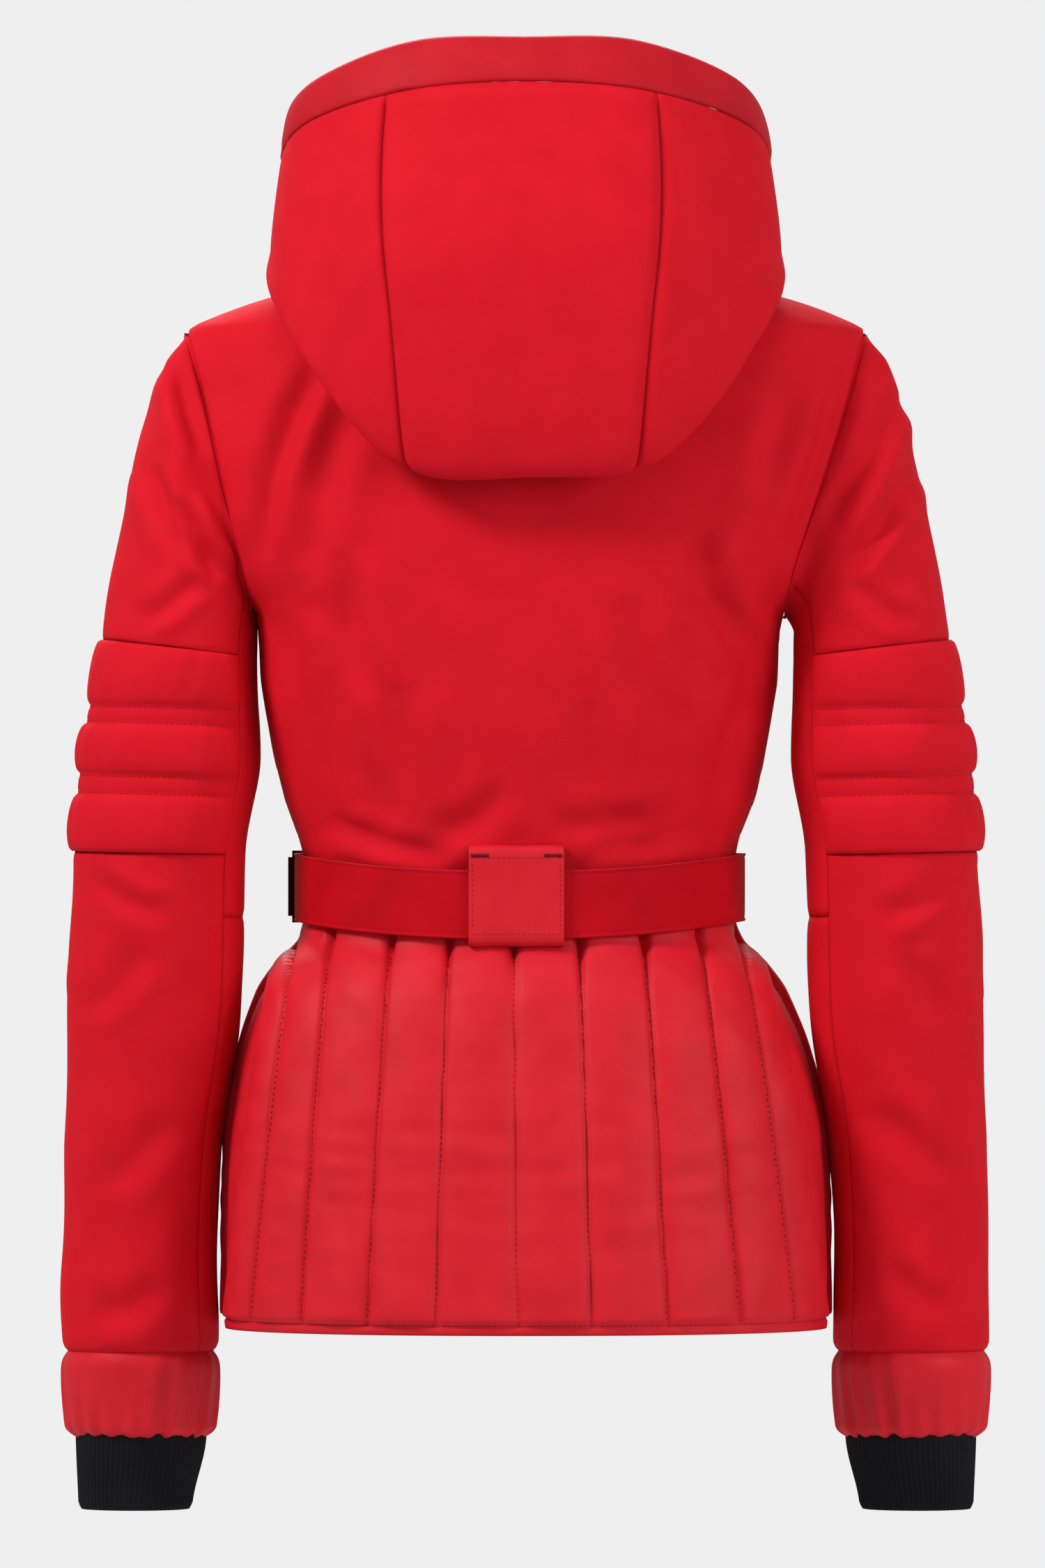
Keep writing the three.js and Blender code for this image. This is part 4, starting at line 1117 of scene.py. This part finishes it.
def pocketFrame(side):
    def onPanel(x, z):
        point = torsoAt(-angleAtX(x, z), z)
        return Vector((side * point.x, point.y, point.z))
    upper, lower = onPanel(84, -190), onPanel(94, -190 - pocketLook["length"])
    along = (upper - lower).normalized()
    out = along.cross((onPanel(70, -260) - (upper + lower) / 2) * side).normalized()
    if out.y > 0:
        out.negate()
    right = -out.cross(along)
    return (upper + lower) / 2 + out * pocketLook["stand"], right, -out, along


for hand, side in (("left", 1), ("right", -1)):
    origin, right, back, along = pocketFrame(side)

    def pocketPoint(x, y, z, frame=(origin, right, back, along)):
        return frame[0] + frame[1] * x + frame[2] * y + frame[3] * z

    inward = tuple(origin + back * 40)
    panel(hand + "PocketTape", lambda u, v: pocketPoint(mix(-8.5, 8.5, u), zipLook["tapeY"] + 0.1,
          mix(-68, 68, v)), 10, 70, inward, "tape", wall=0.9)
    makeTeeth(hand + "PocketTeeth", pocketPoint, pocketLook["length"], [hand + "_pocket_zip"])

    def welt(u, v):
        angle = 2 * math.pi * u
        half = [mix(a, b, v) for a, b in zip(pocketLook["outer"], pocketLook["inner"])]
        x, z = (h * power(f(angle), 0.3) for h, f in zip(half, (math.cos, math.sin)))
        stand = mix(9.4, zipLook["tapeY"] - 0.6, smooth(v * 1.15)) - 1.6 * math.sin(math.pi * v) ** 0.7
        return pocketPoint(x, stand, z)
    panel(hand + "PocketWelt", welt, 150, 12, inward, "softshell", wall=1.2, closed=True)
print("zips and pockets made")

# stitching: pads, belt loop, hem and quilting
tackLook = {"count": 24, "step": 0.45, "tall": 2.6, "low": -343.4, "inset": 1, "width": 11.5}
for hand, side in (("left", 1), ("right", -1)):
    lines = [across(padFields[side], at, 0.01, 0.99) for at in sleeveLook["bandStitches"]]
    piece = makeStitches(hand + "PadStitches", lines, "softshell", None)
    bendSleeve(piece, side)
loopEdge = [downward(loopField, at, 0.2, 0.8) for at in (0.035, 0.965)]
loopEdge += [across(loopField, at, 0.03, 0.97) for at in (0.13, 0.87)]
makeStitches("beltLoopStitches", loopEdge, "satin", "jacket", long=1.9, gap=1.1)
barTacks = []
for number in range(tackLook["count"]):
    for start in (loopLook["from"] + tackLook["inset"], loopLook["to"] - tackLook["width"]):
        low = Vector((start + number * tackLook["step"], loopOuterY + 0.1, tackLook["low"]))
        high = low + Vector((0, 0, tackLook["tall"]))
        barTacks.append([(spot, Vector((0, 1, 0))) for spot in (low, high)])
makeStitches("barTacks", barTacks, "satin", "jacket", long=2.6, gap=0.1, thick=0.5,
             materialName="darkThread")


def creaseLine(field, number):
    # the bottom of one quilting crease, down the back peplum
    phase = channelPhase(field, True)
    line = []
    for j in range(int(0.13 * phase.shape[1]), int(0.97 * phase.shape[1])):
        at = np.interp(-number, -phase[:, j], np.arange(phase.shape[0]))
        if phase[-1, j] > phase[0, j]:
            at = np.interp(number, phase[:, j], np.arange(phase.shape[0]))
        i = min(int(at), phase.shape[0] - 2)
        spot = mix(field["points"][i, j], field["points"][i + 1, j], at - i)
        line.append((Vector(spot), Vector(field["normals"][i, j])))
    return line


creaseLines = [creaseLine(peplumField, number) for number in range(1, 10)]
makeStitches("quiltStitches", creaseLines, "satin", "jacket", long=2.3, gap=1.3, thick=0.5)
makeStitches("hemStitches", [across(peplumField, 0.9785, 0.005, 0.995)], "satin", "jacket",
             long=2.2, gap=1.2)
print("stitches made")

# finishes for the CAD parts that stay as they are
metalNodes = {
    "black_metal": ["buckle_base", "buckle_cover", "buckle_pin"],
    "zip_metal": ["left_top_stop", "right_top_stop", "zip_box", "zip_pin", "zip_slider",
                  "zip_pull", "left_pocket_slider", "left_pocket_pull", "right_pocket_slider",
                  "right_pocket_pull"],
}
for finish, names in metalNodes.items():
    for name in names:
        for slot in bpy.data.objects[name].material_slots:
            slot.link = "OBJECT"
            slot.material = materials[finish]

# a pale floor under the jacket that fades out at its rim, soft lights and a plain pale surround.
# The surround is brighter to the camera than as a source of light
studioLook = {
    "surround": 0.863, "fill": 0.41, "floorZ": -0.95, "floorRadius": 1.3, "fadeFrom": 0.45,
    "floorColour": (0.62, 0.62, 0.62, 1), "aim": (0, 0, -0.35),
    # place, size and watts of each soft light
    "lights": ((2.3, 1.7, 1.9, 0.9, 92), (-2.6, 1.9, 0.3, 1.4, 44), (0.3, -2.4, 1.6, 1.4, 58),
               (0, 1.0, 2.6, 1.4, 12)),
}


def makeSurround():
    world = bpy.data.worlds.new("surround")
    bpy.context.scene.world = world
    world.use_nodes = True
    tree = world.node_tree
    background = tree.nodes["Background"]
    lightPath = addNode(tree, "LightPath")
    seen = addNode(tree, "MapRange", {"To Min": studioLook["fill"], "To Max": studioLook["surround"]})
    tree.links.new(lightPath.outputs["Is Camera Ray"], seen.inputs["Value"])
    tree.links.new(seen.outputs["Result"], background.inputs["Strength"])
    setValues(background, {"Color": (1, 1, 1, 1)})


def floorMaterial():
    material, tree, shader = newMaterial("paleFloor")
    setValues(shader, {"Base Color": studioLook["floorColour"], "Roughness": 0.9})
    where = addNode(tree, "TexCoord")
    distance = addNode(tree, "VectorMath", operation="LENGTH")
    tree.links.new(where.outputs["Object"], distance.inputs[0])
    rim = addNode(tree, "MapRange", {"From Min": studioLook["fadeFrom"], "To Min": 1, "To Max": 0,
                                     "From Max": studioLook["floorRadius"]},
                  interpolation_type="SMOOTHSTEP")
    tree.links.new(distance.outputs["Value"], rim.inputs["Value"])
    tree.links.new(rim.outputs["Result"], shader.inputs["Alpha"])
    return material


makeSurround()
floorMesh = bmesh.new()
bmesh.ops.create_circle(floorMesh, cap_ends=True, segments=96, radius=studioLook["floorRadius"])
floor = meshObject("floor", floorMesh)
floor.location = (0, 0, studioLook["floorZ"])
floor.data.materials.append(floorMaterial())
for number, (x, y, z, size, watts) in enumerate(studioLook["lights"]):
    lamp = bpy.data.lights.new(f"softLight{number + 1}", "AREA")
    lamp.size, lamp.energy = size, watts
    lampObject = bpy.data.objects.new(lamp.name, lamp)
    lampObject.location = (x, y, z)
    aim = Vector(studioLook["aim"]) - Vector((x, y, z))
    lampObject.rotation_euler = aim.to_track_quat("-Z", "Y").to_euler()
    bpy.context.scene.collection.objects.link(lampObject)

# the camera looks at the back of the jacket, level with its middle
cameraLook = {"distance": 8.0, "planeY": -0.03, "x": 0.0021, "z": -0.3284, "seen": 0.9506}
cameraData = bpy.data.cameras.new("camera")
cameraData.sensor_fit = "VERTICAL"
cameraData.sensor_height = 36
cameraData.lens = 36 * cameraLook["distance"] / cameraLook["seen"]
cameraObject = bpy.data.objects.new("camera", cameraData)
cameraObject.location = (cameraLook["x"], cameraLook["planeY"] + cameraLook["distance"],
                         cameraLook["z"])
cameraObject.rotation_euler = (math.radians(90), 0, math.radians(180))
bpy.context.scene.collection.objects.link(cameraObject)
bpy.context.scene.camera = cameraObject
bpy.context.scene.view_settings.view_transform = "Standard"
